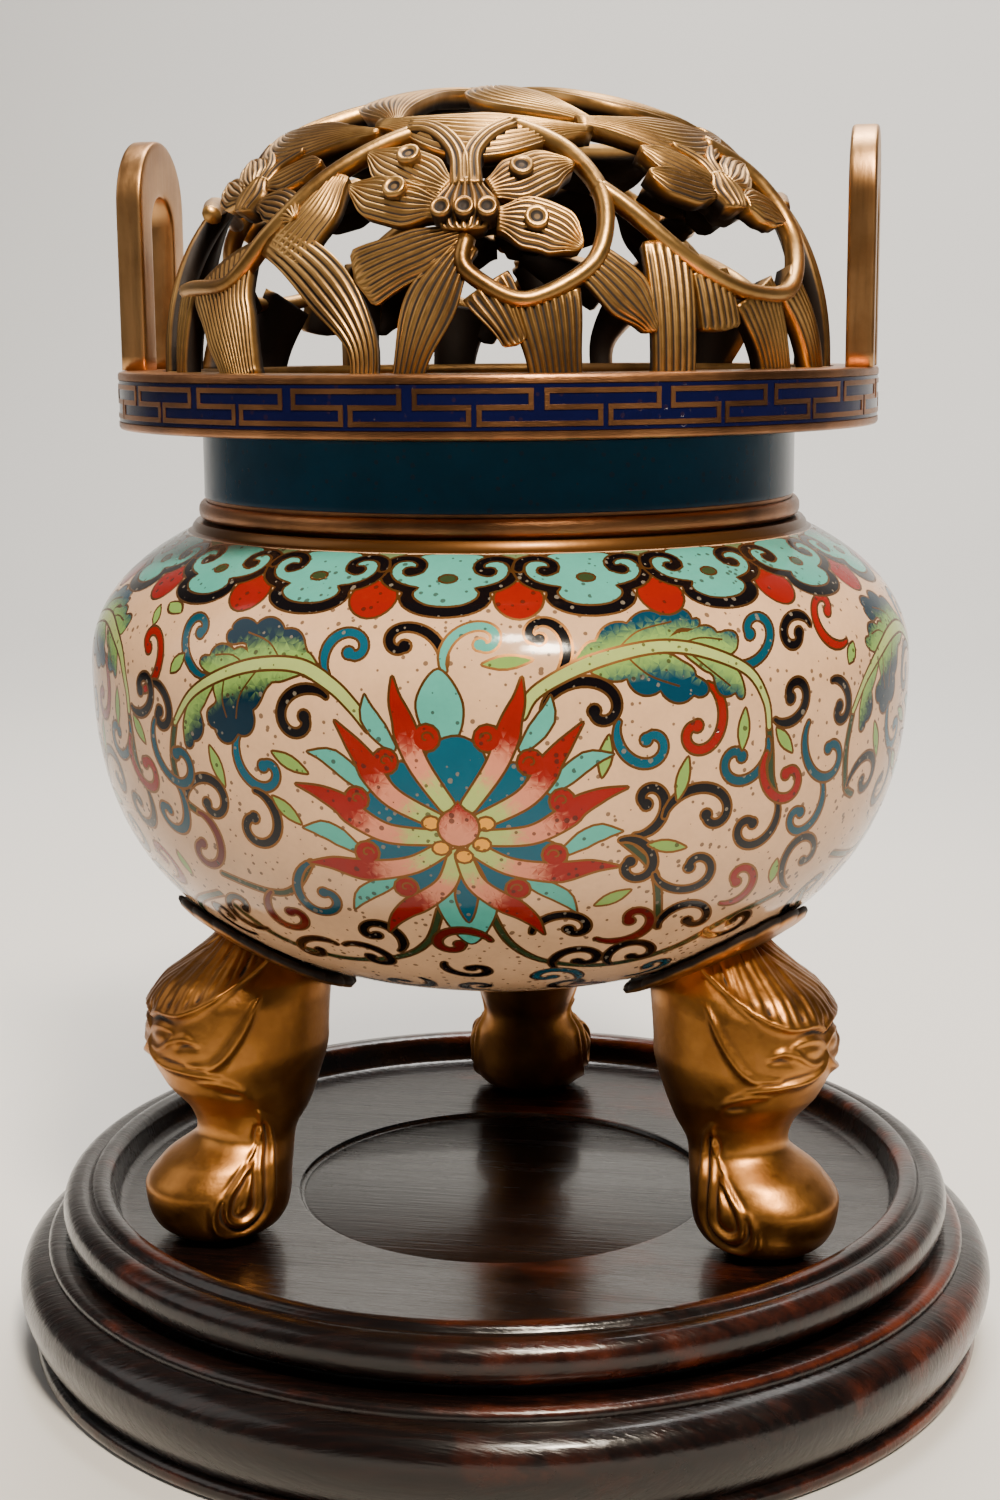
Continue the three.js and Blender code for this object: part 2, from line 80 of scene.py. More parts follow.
# %% Tools for meshes
def make_piece(name, points, faces, material, sharp=40.0, attributes=None):
    mesh = bpy.data.meshes.new(name)
    faces = [tuple(map(int, f)) for f in faces]
    mesh.from_pydata((np.asarray(points, dtype=float) * MM).tolist(), [], faces)
    mesh.shade_smooth()
    if sharp:
        mesh.set_sharp_from_angle(angle=math.radians(sharp))
    for key, values in (attributes or {}).items():
        layer = mesh.attributes.new(key, "FLOAT", "POINT")
        layer.data.foreach_set("value", np.asarray(values, dtype=np.float32))
    mesh.materials.append(material)
    piece = bpy.data.objects.new(name, mesh)
    scene.collection.objects.link(piece)
    return piece


def grid_faces(rows, columns):
    """Quads between rows of points; the last column joins the first."""
    i, j = np.meshgrid(np.arange(rows - 1), np.arange(columns), indexing="ij")
    a, b = i * columns + j, i * columns + (j + 1) % columns
    return np.stack([a, b, b + columns, a + columns], -1).reshape(-1, 4).tolist()


def loft(rows):
    """Closed skin over rows of points, with a fan at each end."""
    rows = np.asarray(rows, dtype=float)
    count, columns = rows.shape[:2]
    points = np.concatenate([rows.reshape(-1, 3), [rows[0].mean(0), rows[-1].mean(0)]])
    faces = grid_faces(count, columns)
    first, last = count * columns, count * columns + 1
    top = (count - 1) * columns
    faces += [((j + 1) % columns, j, first) for j in range(columns)]
    faces += [(top + j, top + (j + 1) % columns, last) for j in range(columns)]
    return points, faces


def join(parts):
    """Puts several lists of points and faces into one."""
    points, faces, start = [], [], 0
    for some_points, some_faces in parts:
        points.append(np.asarray(some_points, dtype=float))
        faces += [tuple(i + start for i in f) for f in some_faces]
        start += len(some_points)
    return np.concatenate(points), faces


def facing_out(points, faces):
    """Turns the faces of a closed skin over if they look inwards."""
    points = np.asarray(points, dtype=float)
    volume = 0.0
    for f in faces:
        for k in range(1, len(f) - 1):
            volume += np.dot(points[f[0]], np.cross(points[f[k]], points[f[k + 1]]))
    return (points, faces) if volume > 0 else (points, [tuple(reversed(f)) for f in faces])


def smooth_line(places, step=0.6, closed=False):
    """Curve through some places, with points about a step apart."""
    p = np.asarray(places, dtype=float)
    n = len(p)
    ids = range(n) if closed else range(n - 1)
    line = []
    for i in ids:
        a, b, c, d = (p[(i + k) % n] if closed else p[min(max(i + k, 0), n - 1)] for k in (-1, 0, 1, 2))
        count = max(2, int(math.ceil(np.linalg.norm(c - b) / step)))
        t = (np.arange(count) / count)[:, None]
        bend, twist = 2 * a - 5 * b + 4 * c - d, 3 * b - a - 3 * c + d
        line.append(0.5 * (2 * b + (c - a) * t + bend * t**2 + twist * t**3))
    if not closed:
        line.append(p[-1:])
    return np.concatenate(line)


def arc_share(line):
    """Share of the way along a line at each of its points."""
    steps = np.linalg.norm(np.diff(line, axis=0), axis=1)
    return np.concatenate([[0], np.cumsum(steps)]) / max(steps.sum(), 1e-9)


# %% [markdown]
# Node trees are built here once and reused. A helper adds a node, sets its values and links its inputs.


# %% Tools for node trees
def add_node(tree, kind, inputs=None, **settings):
    node = tree.nodes.new(kind)
    for key, value in settings.items():
        setattr(node, key, value)
    for key, value in (inputs or {}).items():
        if isinstance(value, bpy.types.NodeSocket):
            tree.links.new(value, node.inputs[key])
        else:
            node.inputs[key].default_value = value
    return node


def sums(tree, operation, a, b=0.0, c=0.0):
    return add_node(tree, "ShaderNodeMath", {0: a, 1: b, 2: c}, operation=operation).outputs[0]


def new_tree(name, sockets):
    tree = bpy.data.node_groups.new(name, "GeometryNodeTree")
    for label, kind in sockets:
        tree.interface.new_socket(name=label, in_out="INPUT", socket_type="NodeSocket" + kind)
    tree.interface.new_socket(name="Geometry", in_out="OUTPUT", socket_type="NodeSocketGeometry")
    return tree, add_node(tree, "NodeGroupInput"), add_node(tree, "NodeGroupOutput")


def finish_tree(tree, node, given, out):
    """Makes a tree's result real, gives it its material and passes it on."""
    real = add_node(tree, "GeometryNodeRealizeInstances", {0: node.outputs[0]})
    keys = {0: real.outputs[0], "Material": given.outputs["Material"]}
    done = add_node(tree, "GeometryNodeSetMaterial", keys)
    tree.links.new(done.outputs[0], out.inputs[0])
    return tree


def grow(name, points, tree, values, attributes=None, faces=(), sharp=40.0):
    """Runs a geometry tree on a small seed mesh and keeps the result as a plain mesh."""
    seed = bpy.data.meshes.new(name)
    seed.from_pydata((np.asarray(points, dtype=float) * MM).tolist(), [], list(faces))
    for key, some in (attributes or {}).items():
        layer = seed.attributes.new(key, "FLOAT", "POINT")
        layer.data.foreach_set("value", np.asarray(some, dtype=np.float32))
    piece = bpy.data.objects.new(name, seed)
    scene.collection.objects.link(piece)
    modifier = piece.modifiers.new("grow", "NODES")
    modifier.node_group = tree
    ids = {s.name: s.identifier for s in tree.interface.items_tree if s.in_out == "INPUT"}
    for label, value in values.items():
        modifier[ids[label]] = value
    graph = bpy.context.evaluated_depsgraph_get()
    mesh = bpy.data.meshes.new_from_object(piece.evaluated_get(graph), depsgraph=graph)
    piece.modifiers.remove(modifier)
    piece.data = mesh
    mesh.shade_smooth()
    if sharp:
        mesh.set_sharp_from_angle(angle=math.radians(sharp))
    return piece


# %% [markdown]
# ## Finishes
# Colours are guessed from the look of old lacquer, gilding and enamel. Cast metal is darker in its hollows,
# and painted shade darkens undersides and places against the bowl, so the meshes carry a value for how dark
# a place is.


# %% Finishes
def paint(red, green, blue):
    """A colour as it looks on a screen, turned into light values."""
    shares = [c / 255 for c in (red, green, blue)]
    return tuple(s / 12.92 if s < 0.0392 else ((s + 0.055) / 1.055) ** 2.4 for s in shares)


def new_material(name):
    material = bpy.data.materials.new(name)
    material.use_nodes = True
    tree = material.node_tree
    tree.nodes.clear()
    shader = add_node(tree, "ShaderNodeBsdfPrincipled")
    add_node(tree, "ShaderNodeOutputMaterial", {"Surface": shader.outputs[0]})
    place = add_node(tree, "ShaderNodeTexCoord").outputs["Object"]
    return material, tree, shader, place


def link(tree, socket, target):
    tree.links.new(socket, target)


def noise(tree, place, scale, stretch=(1, 1, 1), detail=3.0, rough=0.55):
    where = add_node(tree, "ShaderNodeMapping", {"Vector": place, "Scale": stretch}).outputs[0]
    keys = {"Vector": where, "Scale": scale, "Detail": detail, "Roughness": rough}
    return add_node(tree, "ShaderNodeTexNoise", keys).outputs["Fac"]


def blend(tree, share, a, b, mode="MIX"):
    node = add_node(tree, "ShaderNodeMix", data_type="RGBA", blend_type=mode)
    for key, value in ((0, share), (6, a), (7, b)):
        if isinstance(value, bpy.types.NodeSocket):
            tree.links.new(value, node.inputs[key])
        elif key == 0:
            node.inputs[0].default_value = value
        else:
            node.inputs[key].default_value = (*value, 1.0)
    return node.outputs[2]


def attribute(tree, name, output="Fac"):
    return add_node(tree, "ShaderNodeAttribute", attribute_name=name,
                    attribute_type="GEOMETRY").outputs[output]


def span(tree, value, low, high, to_low=0.0, to_high=1.0):
    keys = {"Value": value, "From Min": low, "From Max": high, "To Min": to_low, "To Max": to_high}
    return add_node(tree, "ShaderNodeMapRange", keys, interpolation_type="SMOOTHSTEP").outputs[0]


def bumped(tree, shader, height, distance, strength=1.0):
    node = add_node(tree, "ShaderNodeBump", {"Height": height, "Distance": distance, "Strength": strength})
    link(tree, node.outputs[0], shader.inputs["Normal"])


def metal(name, bright, dull, hollow_and_shade, rough, grain=(1, 1, 1)):
    material, tree, shader, place = new_material(name)
    clouds = noise(tree, place, 70.0, detail=5.0)
    fine = noise(tree, place, 900.0, grain, detail=3.0)
    # The recess value darkens and dulls the metal: in hollows, and as painted shade under parts and against
    # the bowl.
    deep = attribute(tree, "recess_and_shade")
    hollow_and_shade_mask = span(tree, sums(tree, "MULTIPLY_ADD", clouds, 0.5, deep), 0.45, 0.95)
    colour = blend(tree, span(tree, clouds, 0.35, 0.68), bright, dull)
    link(tree, blend(tree, hollow_and_shade_mask, colour, hollow_and_shade), shader.inputs["Base Color"])
    link(tree, sums(tree, "MULTIPLY_ADD", hollow_and_shade_mask, -0.55, 1.0), shader.inputs["Metallic"])
    wear = sums(tree, "MULTIPLY_ADD", fine, 0.22, rough - 0.11)
    link(tree, sums(tree, "MULTIPLY_ADD", hollow_and_shade_mask, 0.3, wear), shader.inputs["Roughness"])
    bumped(tree, shader, fine, 0.00006, 0.6)
    return material


# The third colour of each metal is the dark colour of its hollows and of painted shade.
gilt = metal("gilt_bronze", paint(184, 126, 64), paint(132, 86, 42), paint(30, 18, 10), 0.38)
brushed = metal(
    "gilt_plate", paint(196, 150, 100), paint(156, 112, 70), paint(60, 38, 24), 0.36, grain=(1, 1, 0.06))
brass = metal("pierced_brass", paint(190, 146, 86), paint(136, 98, 54), paint(26, 16, 9), 0.36)
ring_metal = metal(
    "turned_brass", paint(168, 116, 76), paint(112, 76, 50), paint(34, 22, 15), 0.36, grain=(1, 1, 8))


def enamel(name, tinted=True, colour=(0, 0, 0), pits=0.75, cloud=0.16):
    material, tree, shader, place = new_material(name)
    base = attribute(tree, "tint", "Color") if tinted else None
    clouds = noise(tree, place, 160.0, detail=5.0)
    grain = noise(tree, place, 1500.0, detail=2.0)
    shade = sums(tree, "MULTIPLY_ADD", clouds, cloud * 2, 1.0 - cloud)
    shade = sums(tree, "MULTIPLY_ADD", grain, 0.12, sums(tree, "ADD", shade, -0.06))
    grey = add_node(tree, "ShaderNodeCombineColor", {0: shade, 1: shade, 2: shade}).outputs[0]
    body = blend(tree, 1.0, base if tinted else colour, grey, "MULTIPLY")
    holes = add_node(tree, "ShaderNodeTexVoronoi", {"Vector": place, "Scale": 1150.0, "Randomness": 1.0})
    chance = add_node(tree, "ShaderNodeSeparateColor", {0: holes.outputs["Color"]}).outputs[0]
    size = span(tree, chance, 0.3, 1.0, 0.0, 0.3)
    crowd = span(tree, noise(tree, place, 210.0, detail=3.0), 0.3, 0.6, 0.6, 1.25)
    size = sums(tree, "MULTIPLY", size, crowd)
    pit = sums(tree, "MULTIPLY", sums(tree, "LESS_THAN", holes.outputs["Distance"], size), pits)
    light_body = add_node(tree, "ShaderNodeSeparateColor", {0: base if tinted else grey}).outputs[0]
    speck = blend(tree, span(tree, light_body, 0.01, 0.05), paint(120, 110, 96), paint(52, 30, 20))
    body = blend(tree, pit, body, speck)
    if tinted:
        wire = attribute(tree, "wire")
        body = blend(tree, wire, body, paint(112, 74, 36))
        link(tree, sums(tree, "MULTIPLY", wire, 0.75), shader.inputs["Metallic"])
        link(tree, sums(tree, "MULTIPLY_ADD", wire, 0.2, 0.12), shader.inputs["Roughness"])
    else:
        shader.inputs["Roughness"].default_value = 0.2
    link(tree, body, shader.inputs["Base Color"])
    shader.inputs["Specular IOR Level"].default_value = 0.22
    shader.inputs["Coat Weight"].default_value = 0.08
    shader.inputs["Coat Roughness"].default_value = 0.05
    bumped(tree, shader, sums(tree, "MULTIPLY_ADD", pit, -0.6, clouds), 0.00012, 0.5)
    return material


bowl_enamel = enamel("cloisonne_enamel")
neck_enamel = enamel("neck_enamel", False, paint(16, 56, 78), 0.3, 0.3)
band_enamel = enamel("band_enamel", False, paint(8, 10, 48), 0.3, 0.2)


def lacquer():
    material, tree, shader, place = new_material("lacquered_wood")
    streaks = noise(tree, place, 30.0, (1, 9, 5), 6.0, 0.6)
    fine = noise(tree, place, 120.0, (1, 14, 6), 4.0, 0.6)
    patches = noise(tree, place, 22.0, (1, 1, 1), 7.0, 0.68)
    rubbed = sums(tree, "MULTIPLY_ADD", patches, 2.2, sums(tree, "MULTIPLY", attribute(tree, "wear"), 0.42))
    rubbed = span(tree, sums(tree, "MULTIPLY_ADD", streaks, 0.5, rubbed), 1.56, 2.2, 0.0, 0.8)
    body = blend(tree, span(tree, fine, 0.4, 0.75), paint(11, 6, 5), paint(26, 12, 8))
    link(tree, blend(tree, rubbed, body, paint(104, 42, 16)), shader.inputs["Base Color"])
    link(tree, span(tree, streaks, 0.3, 0.8, 0.18, 0.36), shader.inputs["Roughness"])
    shader.inputs["Specular IOR Level"].default_value = 0.3
    shader.inputs["Coat Weight"].default_value = 0.25
    shader.inputs["Coat Roughness"].default_value = 0.12
    bumped(tree, shader, fine, 0.0002, 0.5)
    return material


wood = lacquer()
print("materials", len(bpy.data.materials))

# %% [markdown]
# ## Wooden stand
# The stand is turned on a lathe from dark hardwood and lacquered. A lathe gives the same outline at every
# angle, so one outline and one rule are enough: the tree below takes the outline's points, sets one row of
# a grid on each and turns every column to its own angle. The fine beads and the crease between them catch
# the light, and the lacquer has rubbed through on the edges that stand out.


# %% Wooden stand
WEAR_PER_MM = 1.5


def turned_tree():
    sockets = [("Outline", "Geometry"), ("Segments", "Int"), ("Material", "Material")]
    tree, given, out = new_tree("turned_piece", sockets)
    rows = add_node(tree, "GeometryNodeAttributeDomainSize", {0: given.outputs["Outline"]},
                    component="MESH")
    columns = sums(tree, "ADD", given.outputs["Segments"], 1.0)
    keys = {"Vertices X": rows.outputs["Point Count"], "Vertices Y": columns}
    grid = add_node(tree, "GeometryNodeMeshGrid", keys)
    index = add_node(tree, "GeometryNodeInputIndex").outputs[0]
    row = sums(tree, "FLOOR", sums(tree, "DIVIDE", sums(tree, "ADD", index, 0.5), columns))
    column = sums(tree, "SUBTRACT", index, sums(tree, "MULTIPLY", row, columns))
    share = sums(tree, "DIVIDE", column, given.outputs["Segments"])
    angle = sums(tree, "MULTIPLY", share, 2 * math.pi)
    place = add_node(tree, "GeometryNodeInputPosition").outputs[0]
    outline = {0: given.outputs["Outline"], "Index": row}
    point = add_node(tree, "GeometryNodeSampleIndex", {**outline, "Value": place}, data_type="FLOAT_VECTOR")
    wear = add_node(tree, "GeometryNodeInputNamedAttribute", {"Name": "wear"}, data_type="FLOAT").outputs[0]
    worn = add_node(tree, "GeometryNodeSampleIndex", {**outline, "Value": wear}, data_type="FLOAT")
    keys = {"Vector": point.outputs[0], "Angle": angle}
    swung = add_node(tree, "ShaderNodeVectorRotate", keys, rotation_type="Z_AXIS")
    moved = add_node(tree, "GeometryNodeSetPosition", {0: grid.outputs[0], "Position": swung.outputs[0]})
    keys = {0: moved.outputs[0], "Name": "wear", "Value": worn.outputs[0]}
    kept = add_node(tree, "GeometryNodeStoreNamedAttribute", keys)
    whole = add_node(tree, "GeometryNodeMergeByDistance", {0: kept.outputs[0], "Distance": 1e-6})
    return finish_tree(tree, whole, given, out)


def outline_of(parts):
    """Outline in radius and height: each part is a smooth curve, and parts meet at a crisp corner."""
    lines = [smooth_line(part, 0.5) if len(part) > 2 else np.array(part, dtype=float) for part in parts]
    line = np.concatenate(lines)
    keep = np.concatenate([[True], np.linalg.norm(np.diff(line, axis=0), axis=1) > 1e-3])
    line = line[keep]
    line[np.abs(line[:, 0]) < 1e-6, 0] = 0.0
    return line


def standing_out(line):
    """How much each point of an outline stands out from the ones three steps away, from 0 to 1."""
    before, after = np.roll(line, 3, axis=0), np.roll(line, -3, axis=0)
    along = after - before
    length = np.maximum(np.linalg.norm(along, axis=1), 1e-6)[:, None]
    normal = np.stack([along[:, 1], -along[:, 0]], 1) / length
    bulge = ((line - (before + after) / 2) * normal).sum(1)
    bulge[:3] = bulge[-3:] = 0.0
    return np.clip(bulge * WEAR_PER_MM, 0, 1)


lathe = turned_tree()


def turn_piece(name, parts, material, segments=240):
    line = outline_of(parts)
    points = np.stack([line[:, 0], np.zeros(len(line)), line[:, 1]], 1)
    values = {"Segments": segments, "Material": material}
    return grow(name, points, lathe, values, {"wear": standing_out(line)}, sharp=35.0)


stand = turn_piece("turned_stand", [
    [(0, 0), (61.4, 0)],
    [(61.4, 0), (62.3, 0.3), (62.65, 1.3), (62.3, 2.2), (61.5, 2.5)],
    [(61.5, 2.5), (62.3, 3.6), (63.3, 5.4), (64.05, 7.4), (64.35, 9.2), (64.1, 10.8), (63.3, 12.1),
     (62.0, 13.0), (60.6, 13.5)],
    [(60.6, 13.5), (60.6, 14.2), (60.0, 14.8), (58.8, 15.0), (57.7, 14.9), (57.2, 14.6)],
    [(57.2, 14.6), (55.6, 14.5), (55.0, 15.2), (55.6, 15.9), (57.0, 16.1)],
    [(57.0, 16.1), (58.1, 17.1), (58.5, 18.8), (58.1, 20.3), (57.0, 21.2), (55.9, 21.4)],
    [(55.9, 21.4), (55.2, 21.1), (54.8, 21.3)],
    [(54.8, 21.3), (54.4, 21.9), (53.4, 22.1), (52.5, 21.8), (52.0, 21.0), (51.7, 19.6), (51.2, 18.4),
     (50.2, 18.0)],
    [(50.2, 18.0), (28.0, 18.0)],
    [(28.0, 18.0), (27.6, 17.9), (27.4, 17.5), (27.0, 17.25), (26.6, 17.4)],
    [(26.6, 17.4), (0, 17.4)],
], wood)
print("stand", len(stand.data.polygons), "faces")
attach(stand, "root")
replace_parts(stand, "wood_stand")

# %% [markdown]
# ## Outline of the bowl
# The enamel pattern is laid out on a flat chart and then wrapped round the bowl. A place on the chart is an
# angle round the bowl and a height along its curved side, counted from the middle of the lotus. Distances
# up and down are true, and distances across are made true with the radius at that height.

# %% Outline of the bowl
LOTUS_ANGLE = 5.6
LOTUS_TO_MOUTH = 34.7
CHART_RADIUS = 51.0
CHART_HALF = math.pi * CHART_RADIUS
FIELD_LOW = -44.0
COLUMNS = 120


def bowl_line():
    last = math.acos((MOUTH_RADIUS / BELLY_RADIUS) ** (UPPER_CURVE / 2))
    up = np.linspace(last, 0, 400)
    down = np.linspace(math.pi / 2, 0, 900)[1:]
    radius = np.concatenate([
        BELLY_RADIUS * np.cos(up) ** (2 / UPPER_CURVE), BELLY_RADIUS * np.sin(down) ** (2 / LOWER_CURVE)])
    height = np.concatenate([
        BELLY_Z + BELLY_TO_SHOULDER * np.sin(up) ** (2 / UPPER_CURVE),
        BELLY_Z - BELLY_TO_BASE * np.cos(down) ** (2 / LOWER_CURVE)])
    steps = np.hypot(np.diff(radius), np.diff(height))
    return radius, height, LOTUS_TO_MOUTH - np.concatenate([[0], np.cumsum(steps)])


line_radius, line_height, line_place = bowl_line()
line_normal = np.stack([-np.gradient(line_height), np.gradient(line_radius)], 1)
line_normal /= np.linalg.norm(line_normal, axis=1)[:, None]


def at_place(values, place):
    return np.interp(place, line_place[::-1], values[::-1])


def wrap(u, v):
    """Point of the bowl's skin and the direction out of it, for places on the chart."""
    turn = np.asarray(u) / CHART_RADIUS + math.radians(LOTUS_ANGLE)
    radius, height = at_place(line_radius, v), at_place(line_height, v)
    out, up = at_place(line_normal[:, 0], v), at_place(line_normal[:, 1], v)
    point = np.stack([radius * np.sin(turn), -radius * np.cos(turn), height], -1)
    normal = np.stack([out * np.sin(turn), -out * np.cos(turn), up], -1)
    return point, normal


print("chart from", round(line_place[-1], 1), "to", LOTUS_TO_MOUTH)
print("radius at the lower edge of the field", round(at_place(line_radius, FIELD_LOW), 1))

# %% [markdown]
# ## Drawing the cloisons
# A cloisonne worker bends flat wire along the drawing, sets it on the copper and fills each cell with
# ground glass. Each cell here is drawn twice: once a little larger in the colour of the wire, then a little
# smaller in its own colour. Cells of one group are drawn wire first, so that no wire runs between them.

# %% Drawing the cloisons
WIRE = 0.3
INK = {
    "cream": paint(212, 170, 132), "turquoise": paint(76, 160, 146), "blue": paint(16, 78, 98),
    "teal": paint(14, 66, 82), "navy": paint(6, 34, 50), "ocean": paint(16, 56, 76),
    "red": paint(132, 20, 10),
    "dark red": paint(92, 18, 14), "pink": paint(204, 128, 100), "green": paint(122, 156, 76),
    "pale": paint(160, 176, 100), "yellow": paint(220, 150, 46), "black": paint(12, 8, 10),
    "olive": paint(44, 58, 34), "wire": paint(92, 54, 22), "moss": paint(96, 112, 76),
}
cells = []


def winding(polygon):
    x, y = polygon[:, 0], polygon[:, 1]
    return 0.5 * np.sum(x * np.roll(y, -1) - np.roll(x, -1) * y)


def widen(polygon, amount):
    """Moves the edge of a polygon outwards, or inwards if the amount is negative."""
    p = np.asarray(polygon, dtype=float)
    if winding(p) < 0:
        p = p[::-1]
    before, after = p - np.roll(p, 1, axis=0), np.roll(p, -1, axis=0) - p
    before /= np.maximum(np.linalg.norm(before, axis=1), 1e-9)[:, None]
    after /= np.maximum(np.linalg.norm(after, axis=1), 1e-9)[:, None]
    along = before + after
    along /= np.maximum(np.linalg.norm(along, axis=1), 0.35)[:, None]
    return p + np.stack([along[:, 1], -along[:, 0]], 1) * amount


def brush(places, widths, step=0.7):
    """Outline of a stroke whose width changes along it, with rounded ends."""
    line = smooth_line(places, step) if step else np.asarray(places, dtype=float)
    share = arc_share(line)
    half = np.interp(share, np.linspace(0, 1, len(widths)), widths) / 2
    along = np.gradient(line, axis=0)
    along /= np.maximum(np.linalg.norm(along, axis=1), 1e-9)[:, None]
    side = np.stack([-along[:, 1], along[:, 0]], 1) * half[:, None]
    def cap(middle, direction, size):
        turn = np.radians([60, 20, -20, -60] if size > 0.3 else [0])
        across = np.array([-direction[1], direction[0]])
        return middle + size * (np.cos(turn)[:, None] * direction + np.sin(turn)[:, None] * across)
    head, tail = cap(line[-1], along[-1], half[-1]), cap(line[0], -along[0], half[0])
    return np.concatenate([line + side, head, (line - side)[::-1], tail])


def round_cell(x, y, wide, high, count=14, tip=0.0):
    turn = 2 * np.pi * np.arange(count) / count + np.pi / 2
    spot = np.stack([x + wide * np.cos(turn), y + high * np.sin(turn)], 1)
    spot[0, 1] += tip
    return spot


def draw(shapes, at):
    """Puts a group of cells on the chart; at is the angle of the group's own middle."""
    for shape, _ in shapes:
        cells.append((widen(shape, WIRE / 2), "wire", at))
    for shape, ink in shapes:
        cells.append((widen(shape, -WIRE / 2), ink, at))


def along_ink(line, stops):
    """Colour that changes along a line, as share and colour pairs."""
    line = np.asarray(line, dtype=float)
    share = arc_share(line)
    keys = [s for s, _ in stops]
    tones = np.array([INK[c] for _, c in stops])
    def tone(x, y):
        near = np.argmin((x[:, None] - line[:, 0]) ** 2 + (y[:, None] - line[:, 1]) ** 2, axis=1)
        s = share[near] + rng.normal(0, 0.03, len(x))
        return np.stack([np.interp(s, keys, tones[:, k]) for k in range(3)], 1)
    return tone


def across_ink(line, near_ink, far_ink, low, high):
    """Colour that changes with the distance from a line."""
    line = smooth_line(line, 0.5)
    def tone(x, y):
        distance = np.sqrt(((x[:, None] - line[:, 0]) ** 2 + (y[:, None] - line[:, 1]) ** 2).min(1))
        share = np.clip((distance + rng.normal(0, 0.35, len(x)) - low) / (high - low), 0, 1)[:, None]
        return np.array(INK[near_ink]) * (1 - share) + np.array(INK[far_ink]) * share
    return tone


# %% [markdown]
# ### Lotus
# The lotus has ten curled petals that end in red horns, blue glass between their stems, pointed turquoise
# leaves behind, a pink heart and five yellow seeds. The left half is drawn, and the right one mirrors it.

# %% Lotus
PETALS = [
    ([(-7, 16.6), (-6.7, 14.3), (-5.9, 12), (-5.1, 9.2), (-3.9, 6.6), (-1.2, 2.6)], (-3.3, 10.1), 1.55),
    ([(-13.6, 11.6), (-12, 9.7), (-10.2, 7.4), (-9.2, 5.6), (-7, 3.2), (-2.4, 0.8)], (-7.9, 7.4), 1.5),
    ([(-18.6, 4.2), (-16, 3.6), (-13.2, 2.4), (-11.4, 0.9), (-7.8, -0.9), (-2.6, -1.2)],
     (-11.3, 3.0), 1.45),
    ([(-17.6, -5.3), (-14.6, -5.1), (-11.6, -5.6), (-9.2, -5.6), (-5.2, -4.7), (-1.8, -2.6)],
     (-10.4, -3.4), 1.45),
    ([(-8.8, -15.2), (-7.8, -12.9), (-6.2, -11), (-4.0, -9.4), (-1.6, -7), (-0.4, -3.4)],
     (-6.2, -7.8), 1.4),
]
HORN = [0.3, 1.8, 2.8, 2.4, 2.15, 1.9]
GLASS = [
    [(-1.6, 1.4), (-4.6, 6.6), (-6.6, 7.4), (-7.6, 5.8), (-5.4, 2.8)],
    [(-2, 0.4), (-7.6, 4.6), (-10.4, 3.2), (-10.4, 1.4), (-6.4, -0.5)],
    [(-2, -0.8), (-7.6, -1.2), (-10.6, -2.2), (-9, -4.8), (-5, -4.4)],
    [(-1.2, -1.8), (-5.2, -4.8), (-6.8, -6.6), (-4.6, -8.2), (-1.8, -5.4)],
]
BEHIND = [
    [(-10.1, 14.6), (-9.6, 12.2), (-7.2, 9)], [(-17, 8), (-14, 7.4), (-10, 4.2)],
    [(-18, -0.9), (-15, -1), (-11.6, -3)], [(-12.6, -11.6), (-11, -9), (-7, -6.6)],
]
SEEDS = [(-3, 0.5), (-2, -2.5), (0.5, -3.5), (2.5, -2), (3, 0.5)]
TOP_LEAF = [(-2, 17.6), (-4.4, 14), (-3, 10), (0, 10), (0.7, 14)]
TOP_GLASS = [(-0.3, 2.4), (-3.4, 6.6), (-2.6, 9.4), (0.2, 10.4), (2.6, 9), (3, 6.4)]
LOW_LEAF = [(0.9, -3.4), (-2.4, -8), (-2.6, -11.4), (0.5, -17), (3.6, -11.6), (3.2, -8)]
LOW_GLASS = [(0.8, -5), (-0.8, -8.6), (0.5, -13), (1.8, -8.6)]
HORN_STOPS = [(0, "red"), (0.46, "red"), (0.58, "pink"), (0.74, "pink"), (0.84, "pale"), (1, "pale")]
HAIRLINE = [0.22, 0.22]


def mirrored(places, hand):
    return [(x * hand, y) for x, y in places]


def draw_lotus(at):
    draw([(smooth_line(TOP_LEAF, 0.8, True), "turquoise")], at)
    draw([(smooth_line(TOP_GLASS, 0.8, True), "blue")], at)
    for hand in (1, -1):
        for leaf in BEHIND:
            draw([(brush(mirrored(leaf, hand), [0.2, 2.1, 2.2, 1.2], 0.9), "turquoise")], at)
        for glass in GLASS:
            draw([(smooth_line(mirrored(glass, hand), 1.0, True), "blue")], at)
    draw([(smooth_line(LOW_LEAF, 0.9, True), "turquoise")], at)
    draw([(smooth_line(LOW_GLASS, 0.9, True), "blue")], at)
    for hand in (1, -1):
        for places, (x, y), size in reversed(PETALS):
            line = mirrored(places, hand)
            tone = along_ink(smooth_line(line, 0.5), HORN_STOPS)
            curl = round_cell(x * hand, y, size, size, 12)
            draw([(brush(line, HORN), tone), (curl, "red")], at)
            turn = np.linspace(0, 4.6, 9)
            reach = 0.8 * (1 - 0.16 * turn)
            spiral = np.stack([x * hand + hand * reach * np.cos(turn), y + reach * np.sin(turn)], 1)
            cells.append((brush(spiral, HAIRLINE, 0.4), "wire", at))
    for x, y in SEEDS:
        draw([(round_cell(x, y, 1.0, 0.85, 10), "yellow")], at)
    heart = across_ink([(-0.2, -0.8), (0.3, -1.2)], "pink", "red", 1.2, 3.2)
    draw([(round_cell(0, 0, 2.3, 2.3, 18, 0.8), heart)], at)


# %% [markdown]
# ### Leaves, tendrils and small leaves
# Two long acanthus leaves grow from the lotus, pale along the rib and almost black at the ends of the
# lobes. Tendrils end in open curls; each is a line that runs into a circle.

